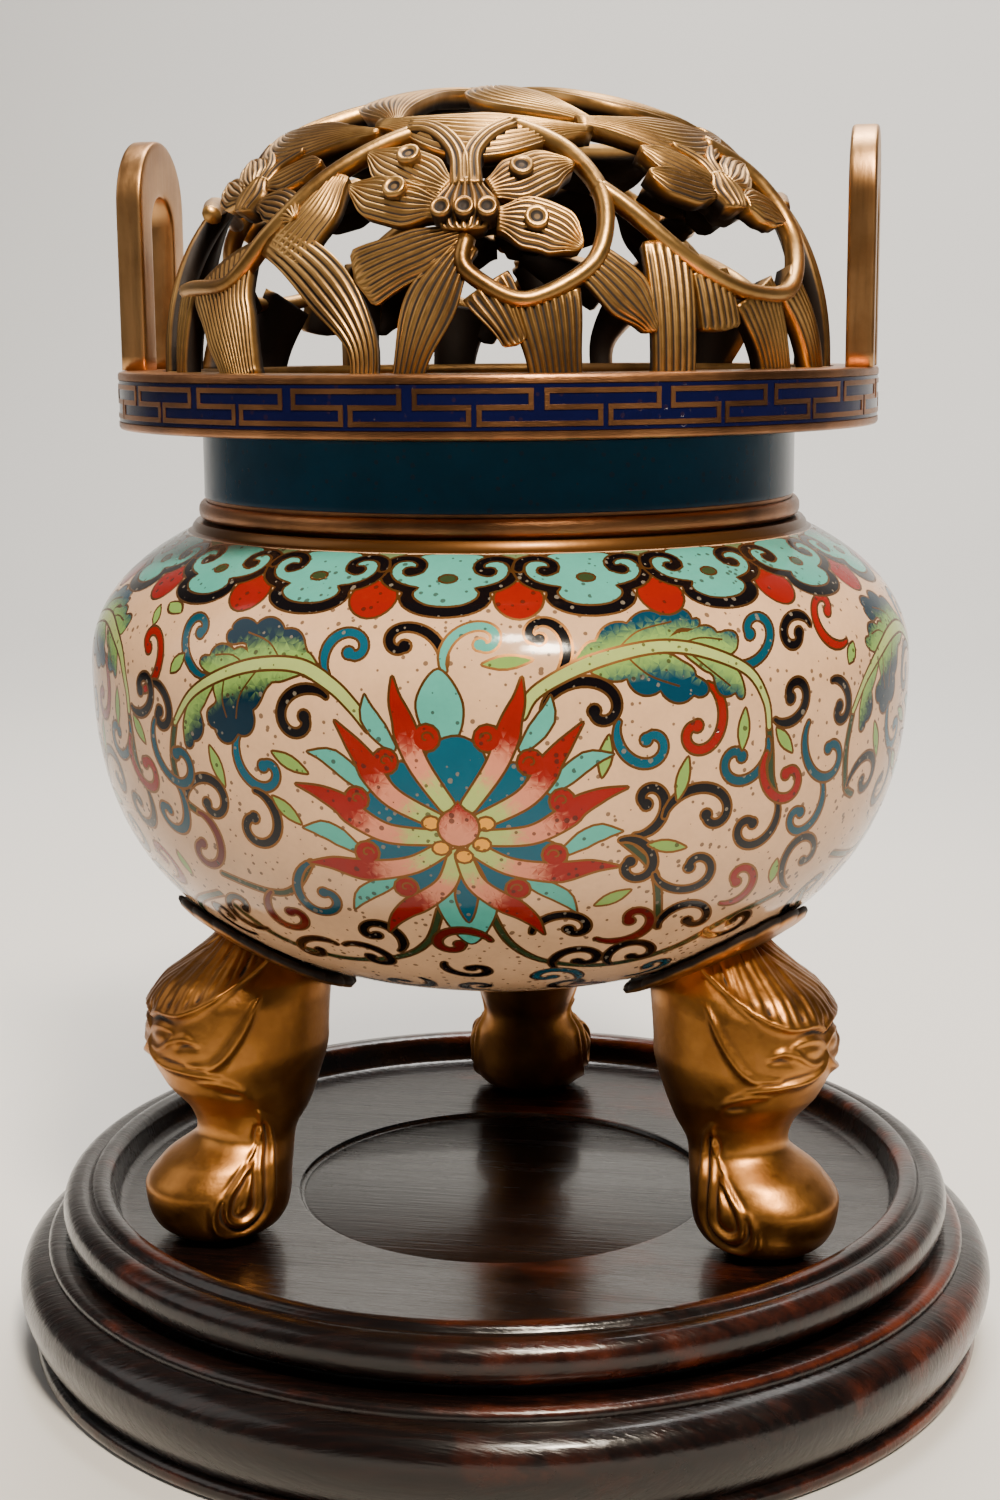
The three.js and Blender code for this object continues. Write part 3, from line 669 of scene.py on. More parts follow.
# %% Leaves and tendrils
SCALLOP = 4.3
LEAF_A = {
    "rib": [(-9.6, 11), (-11.4, 13.2), (-14, 15.5), (-18, 17.4), (-23.5, 17.2), (-29, 15.5), (-33.5, 13),
            (-36.5, 9.5)],
    "lobes": [
        [(-14.6, 15.6), (-16.8, 19.2), (-18.8, 21.6), (-22, 22.7), (-25.6, 22.4), (-28, 21.4),
         (-27.8, 19.6), (-25.4, 19.1),
         (-24, 17.6), (-19, 16.8)],
        [(-23.6, 17), (-25.6, 19), (-29, 18.9), (-31.4, 17.8), (-31.8, 16.4), (-29.4, 15.6)],
        [(-17.4, 16.8), (-20.4, 15.4), (-22.6, 14.2), (-23.6, 11.2), (-25.2, 9), (-27.8, 8.2), (-30.2, 9.2),
         (-30.6, 11.2),
         (-29.6, 12.8), (-29.4, 15), (-25, 16.8)],
        [(-29.4, 15), (-31.2, 12), (-31.8, 9), (-32.8, 7.2), (-34.4, 7), (-35, 9.2), (-34.2, 11.6),
         (-32.6, 13.6)],
    ],
    "veins": [[(-20, 17.3), (-22, 19.8), (-25, 20.8)], [(-25, 16.9), (-27, 18), (-29.6, 17.8)],
              [(-23.4, 16.6), (-25.8, 13.6), (-26.4, 11)], [(-28, 15.8), (-28.4, 13), (-27.8, 11)]],
}
LEAF_B = {
    "rib": [(7, 12.6), (8.5, 15), (13, 17.5), (18, 19), (23, 19.5), (28, 18.5), (33.5, 16), (36, 12.5),
            (36.5, 9.5)],
    "lobes": [
        [(12.4, 17.4), (14.2, 20.6), (17, 22.6), (20.6, 23.8), (24.4, 23.9), (27, 22.8), (26.6, 21.4),
         (24.4, 21.2), (22, 19.4),
         (17, 18.6)],
        [(22, 19.4), (24.8, 21.2), (28.6, 21.4), (31.8, 20.2), (31.8, 18.4), (29, 17.8)],
        [(14.6, 17.2), (17.4, 15.8), (20, 14.6), (22.6, 13.8), (26, 13.2), (28, 14.2), (27.2, 16),
         (25.2, 17.6), (22, 18.8)],
        [(25.2, 18.6), (28.2, 16), (30.2, 13.6), (32.6, 13), (32.8, 14.8), (31, 17)],
    ],
    "veins": [[(17, 19), (19.6, 21.4), (23.6, 22.4)], [(24, 19.4), (27, 20.2), (30, 19.8)],
              [(18.4, 18.6), (21, 16.4), (24.6, 15)], [(26, 18.4), (28.6, 16.4), (31, 14.6)]],
}


def scalloped(places, rib):
    """Outline of a lobe whose far edge bulges into rounds."""
    line = smooth_line(places, 0.45, True)
    rib = smooth_line(rib, 0.5)
    gap = np.sqrt(((line[:, :1] - rib[:, 0]) ** 2 + (line[:, 1:] - rib[:, 1]) ** 2).min(1))
    size = arc_share(line) * np.linalg.norm(np.diff(line, axis=0), axis=1).sum()
    bulge = np.abs(np.sin(math.pi * size / SCALLOP)) ** 0.7 - 0.75
    along = np.roll(line, -1, axis=0) - np.roll(line, 1, axis=0)
    along /= np.maximum(np.linalg.norm(along, axis=1), 1e-9)[:, None]
    out = np.stack([along[:, 1], -along[:, 0]], 1) * (1 if winding(line) > 0 else -1)
    return line + out * (bulge * np.clip((gap - 1.6) / 1.4, 0, 1))[:, None]


def draw_leaf(leaf, at, far):
    tone = across_ink(leaf["rib"], "green", far, 1.3, 3.0)
    draw([(scalloped(lobe, leaf["rib"]), tone) for lobe in leaf["lobes"]], at)
    for vein in leaf["veins"]:
        cells.append((brush(vein, HAIRLINE, 0.8), "wire", at))
    draw([(brush(leaf["rib"], [1.3, 1.7, 1.5, 1.2, 0.8]), "pale")], at)


HOOKS = [
    (-31.1, 15.3, -32.8, 20.7, 2.1, -1, "teal"), (-14.5, 16.7, -11.7, 19.7, 2.3, -1, "blue"),
    (-1.5, 17.3, -6.2, 20.5, 2.1, 1, "black"), (-1.3, 17.4, 2.8, 20.8, 2.1, -1, "turquoise"),
    (-14.6, 14.2, -18.1, 11.6, 2.7, 1, "black"), (-26.1, 9.2, -22.5, 5.3, 2.3, 1, "blue"),
    (-24.2, 2.9, -24.2, -1.3, 3.1, -1, "black"), (-20, -9.3, -24.7, -6.7, 2.4, -1, "black"),
    (-17.4, -5.3, -16.4, -10.4, 3, 1, "teal"), (-35.4, 0.5, -30.9, 0.8, 2.9, -1, "black"),
    (-44.2, 12.5, -41.7, 18, 2.4, 1, "red"), (-41, 13.6, -39.2, 10, 1.9, -1, "black"),
    (-33.4, -0.9, -33.2, -5.9, 2.9, -1, "dark red"), (-8, -19.1, -10.7, -15.5, 2.2, 1, "black"),
    (-23.6, -10.5, -21.2, -14.3, 2.8, 1, "dark red"), (10.2, 16.1, 8.7, 21.5, 2.1, 1, "black"),
    (31.2, 17.2, 34.6, 20.5, 2.7, 1, "teal"), (43.5, 20.4, 40.7, 19.6, 2.4, 1, "black"),
    (50.3, 17.7, 46.7, 22.1, 2.4, -1, "red"), (37.4, 10.2, 40.4, 12.7, 2.4, 1, "black"),
    (28.1, 15, 26.9, 9.7, 2.6, -1, "red"), (9.3, 13.2, 15.6, 13, 2.5, -1, "black"),
    (17.6, 11.5, 21.2, 8.8, 2.5, 1, "blue"), (36.4, 8.1, 32.1, 6, 2.6, -1, "teal"),
    (19.4, -1.5, 21.1, 2.6, 2.1, 1, "black"), (22.9, 0.5, 28.9, 0.4, 2.7, -1, "black"),
    (38, 0.7, 34, -2.3, 2.6, -1, "black"), (17.8, -2, 19.4, -5.4, 2.6, -1, "black"),
    (21.8, -6.8, 26.9, -6.6, 2.8, 1, "black"), (36.2, 6.5, 39.6, 3, 2.7, 1, "red"),
    (45.6, 2, 41.7, -2, 2.3, -1, "teal"), (30.6, -12.7, 33.2, -9.1, 2.4, 1, "red"),
    (14.7, -16.6, 19.4, -13.5, 2.4, 1, "dark red"), (22.2, -15.5, 26.8, -14.5, 2.8, -1, "black"),
    (41.6, -12.6, 43.6, -7.5, 3.3, -1, "black"), (42.8, 9.3, 46.9, 4.9, 3.1, 1, "teal"),
    (7.4, -14.9, 12.2, -14.2, 2.2, -1, "black"), (9.5, -23, 12.9, -21, 2.8, -1, "black"),
    (16.2, -23.4, 19.4, -20.8, 3.2, -1, "black"), (-16, -19, -19.5, -21.5, 2.6, 1, "black"),
    (-26, -18, -29.4, -14.2, 2.6, -1, "black"), (-3, -21.5, 0.4, -23.5, 2.2, 1, "black"),
]
SMALL_LEAVES = [
    (-36, 16.3, 3.2, 45), (-41.8, 21.5, 2.5, 80), (-38.5, 5.8, 2.8, 60), (-29.6, 5.2, 4.9, -65),
    (-19.3, 6.6, 4.9, -25), (-20, 1, 4.6, -40), (-14.1, -8.1, 3.2, 80), (39.7, 22.8, 3.9, -15),
    (40.8, 15.9, 3.9, 45), (32.9, 9.6, 4.6, 85), (38.9, 7.7, 3.9, -50), (5.4, 18.3, 5.3, 5),
    (16.1, 7.8, 4.6, 80), (25.1, 4.7, 4.9, 75), (23.3, -3.2, 4.6, -10), (16.8, -9.7, 4.6, 25),
    (38.5, -9, 3.5, 80),
]
VINES = [
    [(-36.5, 9.5), (-37.3, 5), (-35.8, 0.5), (-33.4, -0.9)],
    [(36.5, 9.5), (36.8, 6.4), (37, 3.6), (38, 0.7)],
    [(-2.6, -11), (-4.6, -17), (-9, -21), (-16, -22.6), (-24, -20), (-31, -14)],
    [(3, -11), (5, -17), (9, -21.4), (16, -23.4), (24, -21), (32, -16), (41.6, -12.6)],
    [(-17.4, -5.3), (-20, -9.3), (-23.6, -10.5), (-31, -9)], [(18, -2), (21.8, -6.8), (22.2, -15.5)],
]


def hook_line(x, y, cx, cy, size, hand):
    """A curl that winds in from its start, once round a centre, and ends inside."""
    reach = math.hypot(x - cx, y - cy)
    size = size - 0.35
    share = np.linspace(0, 1, 30) ** 1.15
    turn = math.atan2(y - cy, x - cx) + hand * share * 5.7
    radius = size * (1 - 0.62 * share**2) + (reach - size) * np.exp(-((share / 0.17) ** 1.4))
    return list(zip(cx + radius * np.cos(turn), cy + radius * np.sin(turn)))


def draw_hook(hook, at):
    *place, ink = hook
    line = np.array(hook_line(*place))
    last = line[-1] - line[-2]
    ball = line[-1] + 0.25 * last / max(np.linalg.norm(last), 1e-6)
    stroke = brush(line, [0.7, 1.15, 1.25, 1.25, 1.2, 1.15, 1.2], 0)
    draw([(stroke, ink), (round_cell(*ball, 0.8, 0.8, 12), ink)], at)


def draw_small_leaf(leaf, at):
    x, y, length, lean = leaf
    c, s = math.cos(math.radians(lean)), math.sin(math.radians(lean))
    ends = [(x - c * length / 2, y - s * length / 2), (x, y), (x + c * length / 2, y + s * length / 2)]
    draw([(brush(ends, [0.3, 1.4, 1.6, 1.3, 0.3], 0.9), "green")], at)


# %% [markdown]
# ### Four fields round the bowl
# The pattern comes four times. Each field was drawn by hand, so a curl that would run into one of a
# neighbour is left out. Small dark scrolls fill the narrow zone near the foot, between the legs.

# %% Four fields
FIELDS = [0.0, 97.0, 182.0, 268.0]
CLOSENESS = 0.92
LOW_ROWS = ((-17.0, 26), (-21.5, 24), (-26.0, 22), (-30.5, 20), (-35.0, 17))
LOW_INKS = ["black", "black", "black", "dark red", "teal"]
used = []


def is_free(x, y, at, room):
    """True if nothing was drawn before within the given room."""
    here = at + math.degrees(x / at_place(line_radius, y))
    for angle, height, other in used:
        gap = (here - angle + 180) % 360 - 180
        away = math.hypot(math.radians(gap) * at_place(line_radius, y), y - height)
        if away < (room + other) * CLOSENESS:
            return False
    used.append((here, y, room))
    return True


for at in FIELDS:
    for vine in VINES:
        draw([(brush(vine, [0.9, 1.0, 0.9], 1.0), "olive")], at)
for at in FIELDS:
    for hook in HOOKS:
        if is_free(hook[2], hook[3], at, hook[4] + 0.4):
            draw_hook(hook, at)
for at in FIELDS:
    for leaf in SMALL_LEAVES:
        if is_free(leaf[0], leaf[1], at, 0.9):
            draw_small_leaf(leaf, at)
for at in FIELDS:
    draw_leaf(LEAF_A, at, "navy")
    draw_leaf(LEAF_B, at, "ocean")
    draw_lotus(at)
for low, count in LOW_ROWS:
    for k in range(count):
        at = 360 * (k + rng.uniform(-0.2, 0.2)) / count
        size = rng.uniform(2.2, 2.7)
        if is_free(0, low, at, size + 0.3):
            hand = rng.choice([-1, 1])
            lean = rng.uniform(0, 2 * math.pi)
            reach = size + 1.9
            start = (reach * math.cos(lean), low + reach * math.sin(lean))
            draw_hook((*start, 0, low, size, hand, rng.choice(LOW_INKS)), at)
print("cells in the fields", len(cells))

# %% [markdown]
# ### Border of cloud heads
# Under the mouth hang eighteen cloud-shaped heads with a broad black edge, and a red drop between each two.

# %% Border of cloud heads
HEAD = [
    (0, 23.6), (2.8, 24), (4.6, 25.1), (5.1, 26.3), (4.9, 27.1), (6, 27.5), (7.3, 28.6), (7.8, 30),
    (7.8, 31.4), (7, 32.7), (5.7, 33.5), (4.2, 33.7),
]
FACE = [
    (0, 25.1), (2.1, 25.4), (3.4, 26.3), (3.6, 27.2), (3.1, 27.9), (4.2, 28.2), (5.7, 28.9), (6.5, 30.1),
    (6.4, 31.5), (5.5, 32.5), (4, 33.2), (2.4, 34),
]
CURL = [(7.2, 31), (6.7, 32.3), (5.5, 33), (4.1, 32.9), (3.2, 32), (3.4, 30.9), (4.4, 30.6)]
GAP = [(0, 28.2), (1.2, 28.8), (1.1, 31), (1.5, 33), (1.6, 34)]
DROP = [(0, 23.3), (1.5, 23.8), (2.5, 25), (2.75, 26.4), (2.3, 27.6), (1.4, 28.6), (0, 29)]


def both_sides(half):
    return [*half, *[(-x, y) for x, y in reversed(half) if x > 0]]


HEAD_ANGLES = [20.0 * k - 2.2 for k in range(18)]
for at in HEAD_ANGLES:
    gap, drop = smooth_line(both_sides(GAP), 1.2, True), smooth_line(both_sides(DROP), 0.8, True)
    draw([(gap, "moss"), (drop, "red")], at + 10)
for at in HEAD_ANGLES:
    draw([(smooth_line(both_sides(HEAD), 0.8, True), "black")], at)
    draw([(smooth_line(both_sides(FACE), 0.8, True), "turquoise")], at)
    for hand in (1, -1):
        draw([(brush(mirrored(CURL, hand), [1.2, 1.2, 1.1, 1.1, 1.2, 1.7], 0.6), "black")], at)
    draw([(round_cell(0, 29.4, 1.05, 0.75, 12), "olive")], at)
print("cells in all", len(cells))

# %% [markdown]
# ### From the drawing to the skin
# All edges go into one triangulation of the chart, together with a light net of points that lets the skin
# follow the round of the bowl. Each triangle then takes the colour of the last cell drawn over it. The
# chart is wrapped round, its ends meet at the back, and an inner wall and a foot close the copper body.


# %% From the drawing to the skin
NET_STEP, SHADED_STEP, BRIM = 2.4, 0.85, 0.6


def chart_of(polygon, at):
    x, y = polygon[:, 0], np.clip(polygon[:, 1], FIELD_LOW + 0.4, LOTUS_TO_MOUTH - 0.75)
    return np.stack([(math.radians(at) + x / at_place(line_radius, y)) * CHART_RADIUS, y], 1)


def laid_cells():
    """Every cell on the chart, with a copy where it crosses the seam at the back."""
    laid = []
    for polygon, ink, at in cells:
        flat = chart_of(polygon, (at + 180) % 360 - 180)
        for shift in (0, 2 * CHART_HALF, -2 * CHART_HALF):
            moved = flat + (shift, 0)
            if moved[:, 0].max() > -CHART_HALF and moved[:, 0].min() < CHART_HALF:
                middle = (at + 180) % 360 - 180
                laid.append((moved, ink, middle + math.degrees(shift / CHART_RADIUS)))
    return laid


def inside(points, polygon):
    """Which points lie inside a polygon, by how often its edge winds round them."""
    a, b = polygon, np.roll(polygon, -1, axis=0)
    x, y = points[:, :1], points[:, 1:]
    side = (b[:, 0] - a[:, 0]) * (y - a[:, 1]) - (x - a[:, 0]) * (b[:, 1] - a[:, 1])
    up = (a[:, 1] <= y) & (b[:, 1] > y) & (side > 0)
    down = (a[:, 1] > y) & (b[:, 1] <= y) & (side < 0)
    return (up.sum(1) - down.sum(1)) != 0


def net_points():
    step = 2 * CHART_HALF / COLUMNS
    us = -CHART_HALF + step * np.arange(COLUMNS + 1)
    rows = int(round((LOTUS_TO_MOUTH - FIELD_LOW) / NET_STEP))
    vs = np.linspace(FIELD_LOW, LOTUS_TO_MOUTH, rows + 1)
    return us, vs


def triangulate(laid):
    us, vs = net_points()
    points, edges = [], []
    def chain(line, closed):
        start = len(points)
        points.extend(map(tuple, line))
        count = len(line)
        edges.extend((start + i, start + (i + 1) % count) for i in range(count if closed else count - 1))
    low_side, right_side = [(u, FIELD_LOW) for u in us], [(CHART_HALF, v) for v in vs[1:]]
    top_side, left_side = [(u, LOTUS_TO_MOUTH) for u in us[-2::-1]], [(-CHART_HALF, v) for v in vs[-2:0:-1]]
    chain(low_side + right_side + top_side + left_side, True)
    chain([(u, LOTUS_TO_MOUTH - BRIM) for u in us], False)
    for polygon, ink, _ in laid:
        chain(polygon, True)
        if callable(ink):
            low, high = polygon.min(0), polygon.max(0)
            across, up = (np.arange(low[k], high[k], SHADED_STEP) for k in (0, 1))
            fill = np.stack(np.meshgrid(across, up), -1).reshape(-1, 2)
            fill = fill + rng.uniform(-0.2, 0.2, fill.shape)
            fill = fill[np.abs(fill[:, 0]) < CHART_HALF - 0.5]
            if len(fill):
                points.extend(map(tuple, fill[inside(fill, polygon)]))
    net = np.stack(np.meshgrid(us[1:-1], vs[1:-1]), -1).reshape(-1, 2)
    points.extend(map(tuple, net))
    result = geometry.delaunay_2d_cdt([Vector(p) for p in points], edges, [], 0, 1e-4, False)
    flat = np.array([(p.x, p.y) for p in result[0]])
    faces = np.array([f for f in result[2] if len(f) == 3])
    u, v = flat[faces].mean(1).T
    keep = (np.abs(u) < CHART_HALF) & (v > FIELD_LOW) & (v < LOTUS_TO_MOUTH)
    corners = flat[faces]
    area = np.cross(corners[:, 1] - corners[:, 0], corners[:, 2] - corners[:, 0])
    faces[area < 0] = faces[area < 0][:, ::-1]
    return flat, faces[keep & (np.abs(area) > 1e-7)]


laid = laid_cells()
flat, faces = triangulate(laid)
middle = flat[faces].mean(1)
owner = np.full(len(faces), -1)
by_height = np.argsort(middle[:, 1])
heights = middle[by_height, 1]
for number, (polygon, _, _) in enumerate(laid):
    low, high = polygon.min(0), polygon.max(0)
    some = by_height[np.searchsorted(heights, low[1]):np.searchsorted(heights, high[1])]
    some = some[(middle[some, 0] > low[0]) & (middle[some, 0] < high[0])]
    if len(some):
        owner[some[inside(middle[some], polygon)]] = number
print("chart:", len(flat), "points", len(faces), "triangles")

tint = np.tile(np.array(INK["cream"]), (len(faces), 3, 1))
wire = np.zeros(len(faces))
for number in np.unique(owner[owner >= 0]):
    _, ink, at = laid[number]
    mine = np.where(owner == number)[0]
    if callable(ink):
        spots = flat[faces[mine]].reshape(-1, 2)
        x = (spots[:, 0] / CHART_RADIUS - math.radians(at)) * at_place(line_radius, spots[:, 1])
        tint[mine] = ink(x, spots[:, 1]).reshape(-1, 3, 3)
    else:
        tint[mine] = INK[ink]
        wire[mine] = 1.0 if ink == "wire" else 0.0
brim = middle[:, 1] > LOTUS_TO_MOUTH - BRIM
wire[brim] = 1.0
tint[brim] = INK["wire"]


def bowl_piece():
    skin, normals = wrap(flat[:, 0], flat[:, 1])
    seam = np.where(np.abs(np.abs(flat[:, 0]) - CHART_HALF) < 1e-3)[0]
    target = np.arange(len(flat))
    left = {round(float(flat[i, 1]), 3): i for i in seam if flat[i, 0] < 0}
    heights_left = np.array(sorted(left))
    for i in seam:
        if flat[i, 0] > 0:
            nearest = heights_left[np.argmin(np.abs(heights_left - flat[i, 1]))]
            target[i] = left[round(float(nearest), 3)]
    body = target[faces]
    good = (body[:, 0] != body[:, 1]) & (body[:, 1] != body[:, 2]) & (body[:, 2] != body[:, 0])
    body, colours, wires = body[good], tint[good], wire[good]
    kept, renamed = np.unique(body, return_inverse=True)
    body = renamed.reshape(-1, 3)
    points, normals = skin[kept], normals[kept]
    index = {old: new for new, old in enumerate(kept)}
    us, _ = net_points()
    ring = {}
    for v in (FIELD_LOW, LOTUS_TO_MOUTH):
        near = np.where(np.abs(flat[:, 1] - v) < 1e-4)[0]
        order = near[np.argsort(flat[near, 0])]
        ring[v] = [index[target[i]] for i in order[:-1]]
    turn = us[:-1] / CHART_RADIUS + math.radians(LOTUS_ANGLE)
    extra = list(points)
    more = []
    def rows(first, line):
        last = first
        for radius, height in line:
            if radius < 1e-6:
                extra.append((0, 0, height))
                pole = len(extra) - 1
                more.extend((last[j], last[(j + 1) % COLUMNS], pole) for j in range(COLUMNS))
                return
            start = len(extra)
            extra.extend((radius * math.sin(t), -radius * math.cos(t), height) for t in turn)
            now = list(range(start, start + COLUMNS))
            for j in range(COLUMNS):
                k = (j + 1) % COLUMNS
                more.append((last[j], last[k], now[k], now[j]))
            last = now
    lower = np.linspace(FIELD_LOW, line_place[-1], 14)[1:]
    foot = [(at_place(line_radius, v), at_place(line_height, v)) for v in lower]
    foot[-1] = (0.0, foot[-1][1])
    rows(ring[FIELD_LOW], foot)
    more[:] = [tuple(reversed(f)) for f in more]
    count = len(more)
    bore = MOUTH_RADIUS - MOUTH_RING - BOWL_WALL
    scale = BELLY_RADIUS - BOWL_WALL
    inner = []
    rise, fall = BELLY_TO_SHOULDER - BOWL_WALL, BELLY_TO_BASE - BOWL_WALL
    upper_power, lower_power = 2 / UPPER_CURVE, 2 / LOWER_CURVE
    for t in np.linspace(math.acos((bore / scale) ** (UPPER_CURVE / 2)), 0, 14):
        inner.append((scale * math.cos(t) ** upper_power, BELLY_Z + rise * math.sin(t) ** upper_power))
    for t in np.linspace(math.pi / 2, 0, 24)[1:]:
        inner.append((scale * math.sin(t) ** lower_power, BELLY_Z - fall * math.cos(t) ** lower_power))
    inner[-1] = (0.0, inner[-1][1])
    rim = [(MOUTH_RADIUS - 0.1, SHOULDER_Z + 0.5), (MOUTH_RADIUS - 0.5, MOUTH_Z)]
    rim += [(bore + 0.2, MOUTH_Z), (bore, MOUTH_Z - 0.3)]
    rows(ring[LOTUS_TO_MOUTH], rim + inner)
    all_faces = [tuple(f) for f in body] + more
    piece = make_piece("cloisonne_bowl", extra, all_faces, bowl_enamel, sharp=50.0)
    mesh = piece.data
    loops = len(mesh.loops)
    tones = np.ones((loops, 4), dtype=np.float32)
    tones[:, :3] = INK["wire"]
    metal_share = np.ones(loops, dtype=np.float32)
    skin_loops = len(body) * 3
    tones[:skin_loops, :3] = colours.reshape(-1, 3)
    metal_share[:skin_loops] = np.repeat(wires, 3)
    foot_loops = sum(len(f) for f in more[:count])
    tones[skin_loops:skin_loops + foot_loops, :3] = INK["cream"]
    metal_share[skin_loops:skin_loops + foot_loops] = 0.0
    mesh.attributes.new("tint", "FLOAT_COLOR", "CORNER").data.foreach_set("color", tones.ravel())
    mesh.attributes.new("wire", "FLOAT", "CORNER").data.foreach_set("value", metal_share)
    given = np.zeros((loops, 3), dtype=np.float32)
    given[:skin_loops] = normals[body.ravel()]
    mesh.normals_split_custom_set(given.tolist())
    return piece


bowl = bowl_piece()
print("bowl", len(bowl.data.polygons), "faces")
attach(bowl, "root")
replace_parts(bowl, "bowl")

# %% [markdown]
# ## Collar
# The collar is turned brass: a foot ring that sits on the bowl's mouth, a straight neck and a wide flat rim.
# The neck is covered with dark blue-green enamel, and the edge of the rim carries a running fret.

# %% Collar
bore = MOUTH_RADIUS - MOUTH_RING - BOWL_WALL - 2 * FIT
spigot_z = MOUTH_Z - 3
collar = turn_piece("turned_collar", [
    [(34, spigot_z), (bore, spigot_z)],
    [(bore, spigot_z), (bore, COLLAR_Z)],
    [(bore, COLLAR_Z), (37.6, COLLAR_Z)],
    [(37.6, COLLAR_Z), (38.0, COLLAR_Z + 0.5), (38.0, COLLAR_Z + 1.5), (37.6, COLLAR_Z + 2.1),
     (37.1, COLLAR_Z + 2.2)],
    [(37.1, COLLAR_Z + 2.2), (37.1, RIM_UNDER - 0.2)],
    [(37.1, RIM_UNDER - 0.2), (37.4, RIM_UNDER)],
    [(37.4, RIM_UNDER), (46.9, RIM_UNDER)],
    [(46.9, RIM_UNDER), (47.3, RIM_UNDER + 0.1), (47.5, RIM_UNDER + 0.4)],
    [(47.5, RIM_UNDER + 0.4), (47.5, RIM_UNDER + 0.95)],
    [(47.5, RIM_UNDER + 0.95), (47.25, RIM_UNDER + 1.0)],
    [(47.25, RIM_UNDER + 1.0), (47.25, RIM_TOP - 1.0)],
    [(47.25, RIM_TOP - 1.0), (47.5, RIM_TOP - 0.95)],
    [(47.5, RIM_TOP - 0.95), (47.5, RIM_TOP - 0.4)],
    [(47.5, RIM_TOP - 0.4), (47.35, RIM_TOP - 0.1), (47.0, RIM_TOP)],
    [(47.0, RIM_TOP), (42.0, RIM_TOP)],
    [(42.0, RIM_TOP), (42.0, RIM_TOP - SEAT_DEPTH)],
    [(42.0, RIM_TOP - SEAT_DEPTH), (34, RIM_TOP - SEAT_DEPTH)],
    [(34, RIM_TOP - SEAT_DEPTH), (34, spigot_z)],
], ring_metal, segments=180)
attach(collar, "root")
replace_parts(collar, "collar")

neck = turn_piece("neck_enamel", [
    [(36.9, COLLAR_Z + 2.5), (37.3, COLLAR_Z + 2.7), (37.3, COLLAR_Z + 3.4)],
    [(37.3, COLLAR_Z + 3.4), (37.3, RIM_UNDER - 1.0)],
    [(37.3, RIM_UNDER - 1.0), (37.25, RIM_UNDER - 0.6), (36.9, RIM_UNDER - 0.4)],
    [(36.9, RIM_UNDER - 0.4), (36.9, COLLAR_Z + 2.5)],
], neck_enamel, segments=180)
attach(neck, "root")

band = turn_piece("band_enamel", [
    [(47.1, RIM_UNDER + 1.0), (47.4, RIM_UNDER + 1.05)],
    [(47.4, RIM_UNDER + 1.05), (47.4, RIM_TOP - 1.05)],
    [(47.4, RIM_TOP - 1.05), (47.1, RIM_TOP - 1.0)],
    [(47.1, RIM_TOP - 1.0), (47.1, RIM_UNDER + 1.0)],
], band_enamel, segments=180)
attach(band, "root")

# %% [markdown]
# ### Running fret
# The fret is one bent strip that repeats twenty-one times. One repeat is laid out with square corners, bent
# to the round of the rim, and set round the axis by the tree below.

# %% Running fret
REPEATS = 21
PITCH = 2 * math.pi / REPEATS
FRET_WIDTH = 0.58


FRET_EDGE = 1.75
FRET_PLACES = [
    (0, 0.5), (0, 1), (0.88, 1), (0.88, 0.5), (0.49, 0.5), (0.49, 0), (1.41, 0), (1.41, 0.5), (1.02, 0.5)]
FRET_SECTION = [(-1, 47.3), (-1, 47.46), (-0.9, 47.5), (0.9, 47.5), (1, 47.46), (1, 47.3)]


def fret_unit():
    bottom, top = RIM_UNDER + FRET_EDGE, RIM_TOP - FRET_EDGE
    line = [np.array([x * PITCH * RIM_RADIUS, bottom + y * (top - bottom)]) for x, y in FRET_PLACES]
    half = FRET_WIDTH / 2
    parts = []
    for a, b in zip(line, line[1:]):
        along = (b - a) / np.linalg.norm(b - a)
        side = np.array([-along[1], along[0]])
        start, end = a - along * half, b + along * half
        count = max(1, int(np.linalg.norm(end - start) / 1.5))
        rows = []
        for i in range(count + 1):
            here = start + (end - start) * i / count
            row = []
            for s, radius in FRET_SECTION:
                x, z = here + side * s * half
                row.append((radius * math.sin(x / RIM_RADIUS), -radius * math.cos(x / RIM_RADIUS), z))
            rows.append(row)
        parts.append(facing_out(*loft(rows)))
    return join(parts)


def round_tree():
    sockets = [("Unit", "Geometry"), ("Repeats", "Int"), ("Material", "Material")]
    tree, given, out = new_tree("round_the_axis", sockets)
    keys = {"Count": given.outputs["Repeats"], "Offset": (0, 0, 0)}
    spots = add_node(tree, "GeometryNodeMeshLine", keys)
    index = add_node(tree, "GeometryNodeInputIndex").outputs[0]
    share = sums(tree, "DIVIDE", index, given.outputs["Repeats"])
    angle = sums(tree, "MULTIPLY", share, 2 * math.pi)
    turn = add_node(tree, "ShaderNodeCombineXYZ", {"Z": angle}).outputs[0]
    keys = {"Points": spots.outputs[0], "Instance": given.outputs["Unit"], "Rotation": turn}
    placed = add_node(tree, "GeometryNodeInstanceOnPoints", keys)
    return finish_tree(tree, placed, given, out)


around = round_tree()
unit_points, unit_faces = fret_unit()
values = {"Repeats": REPEATS, "Material": ring_metal}
fret = grow("running_fret", unit_points, around, values, faces=unit_faces)
print("fret", len(fret.data.polygons), "faces")
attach(fret, "root")

# %% [markdown]
# ## Handles
# Each handle is cut from thick plate as a round-headed arch with an open slot, filed and brushed along its
# edges. Its section is a flat bar with slightly broken corners, carried round the arch.


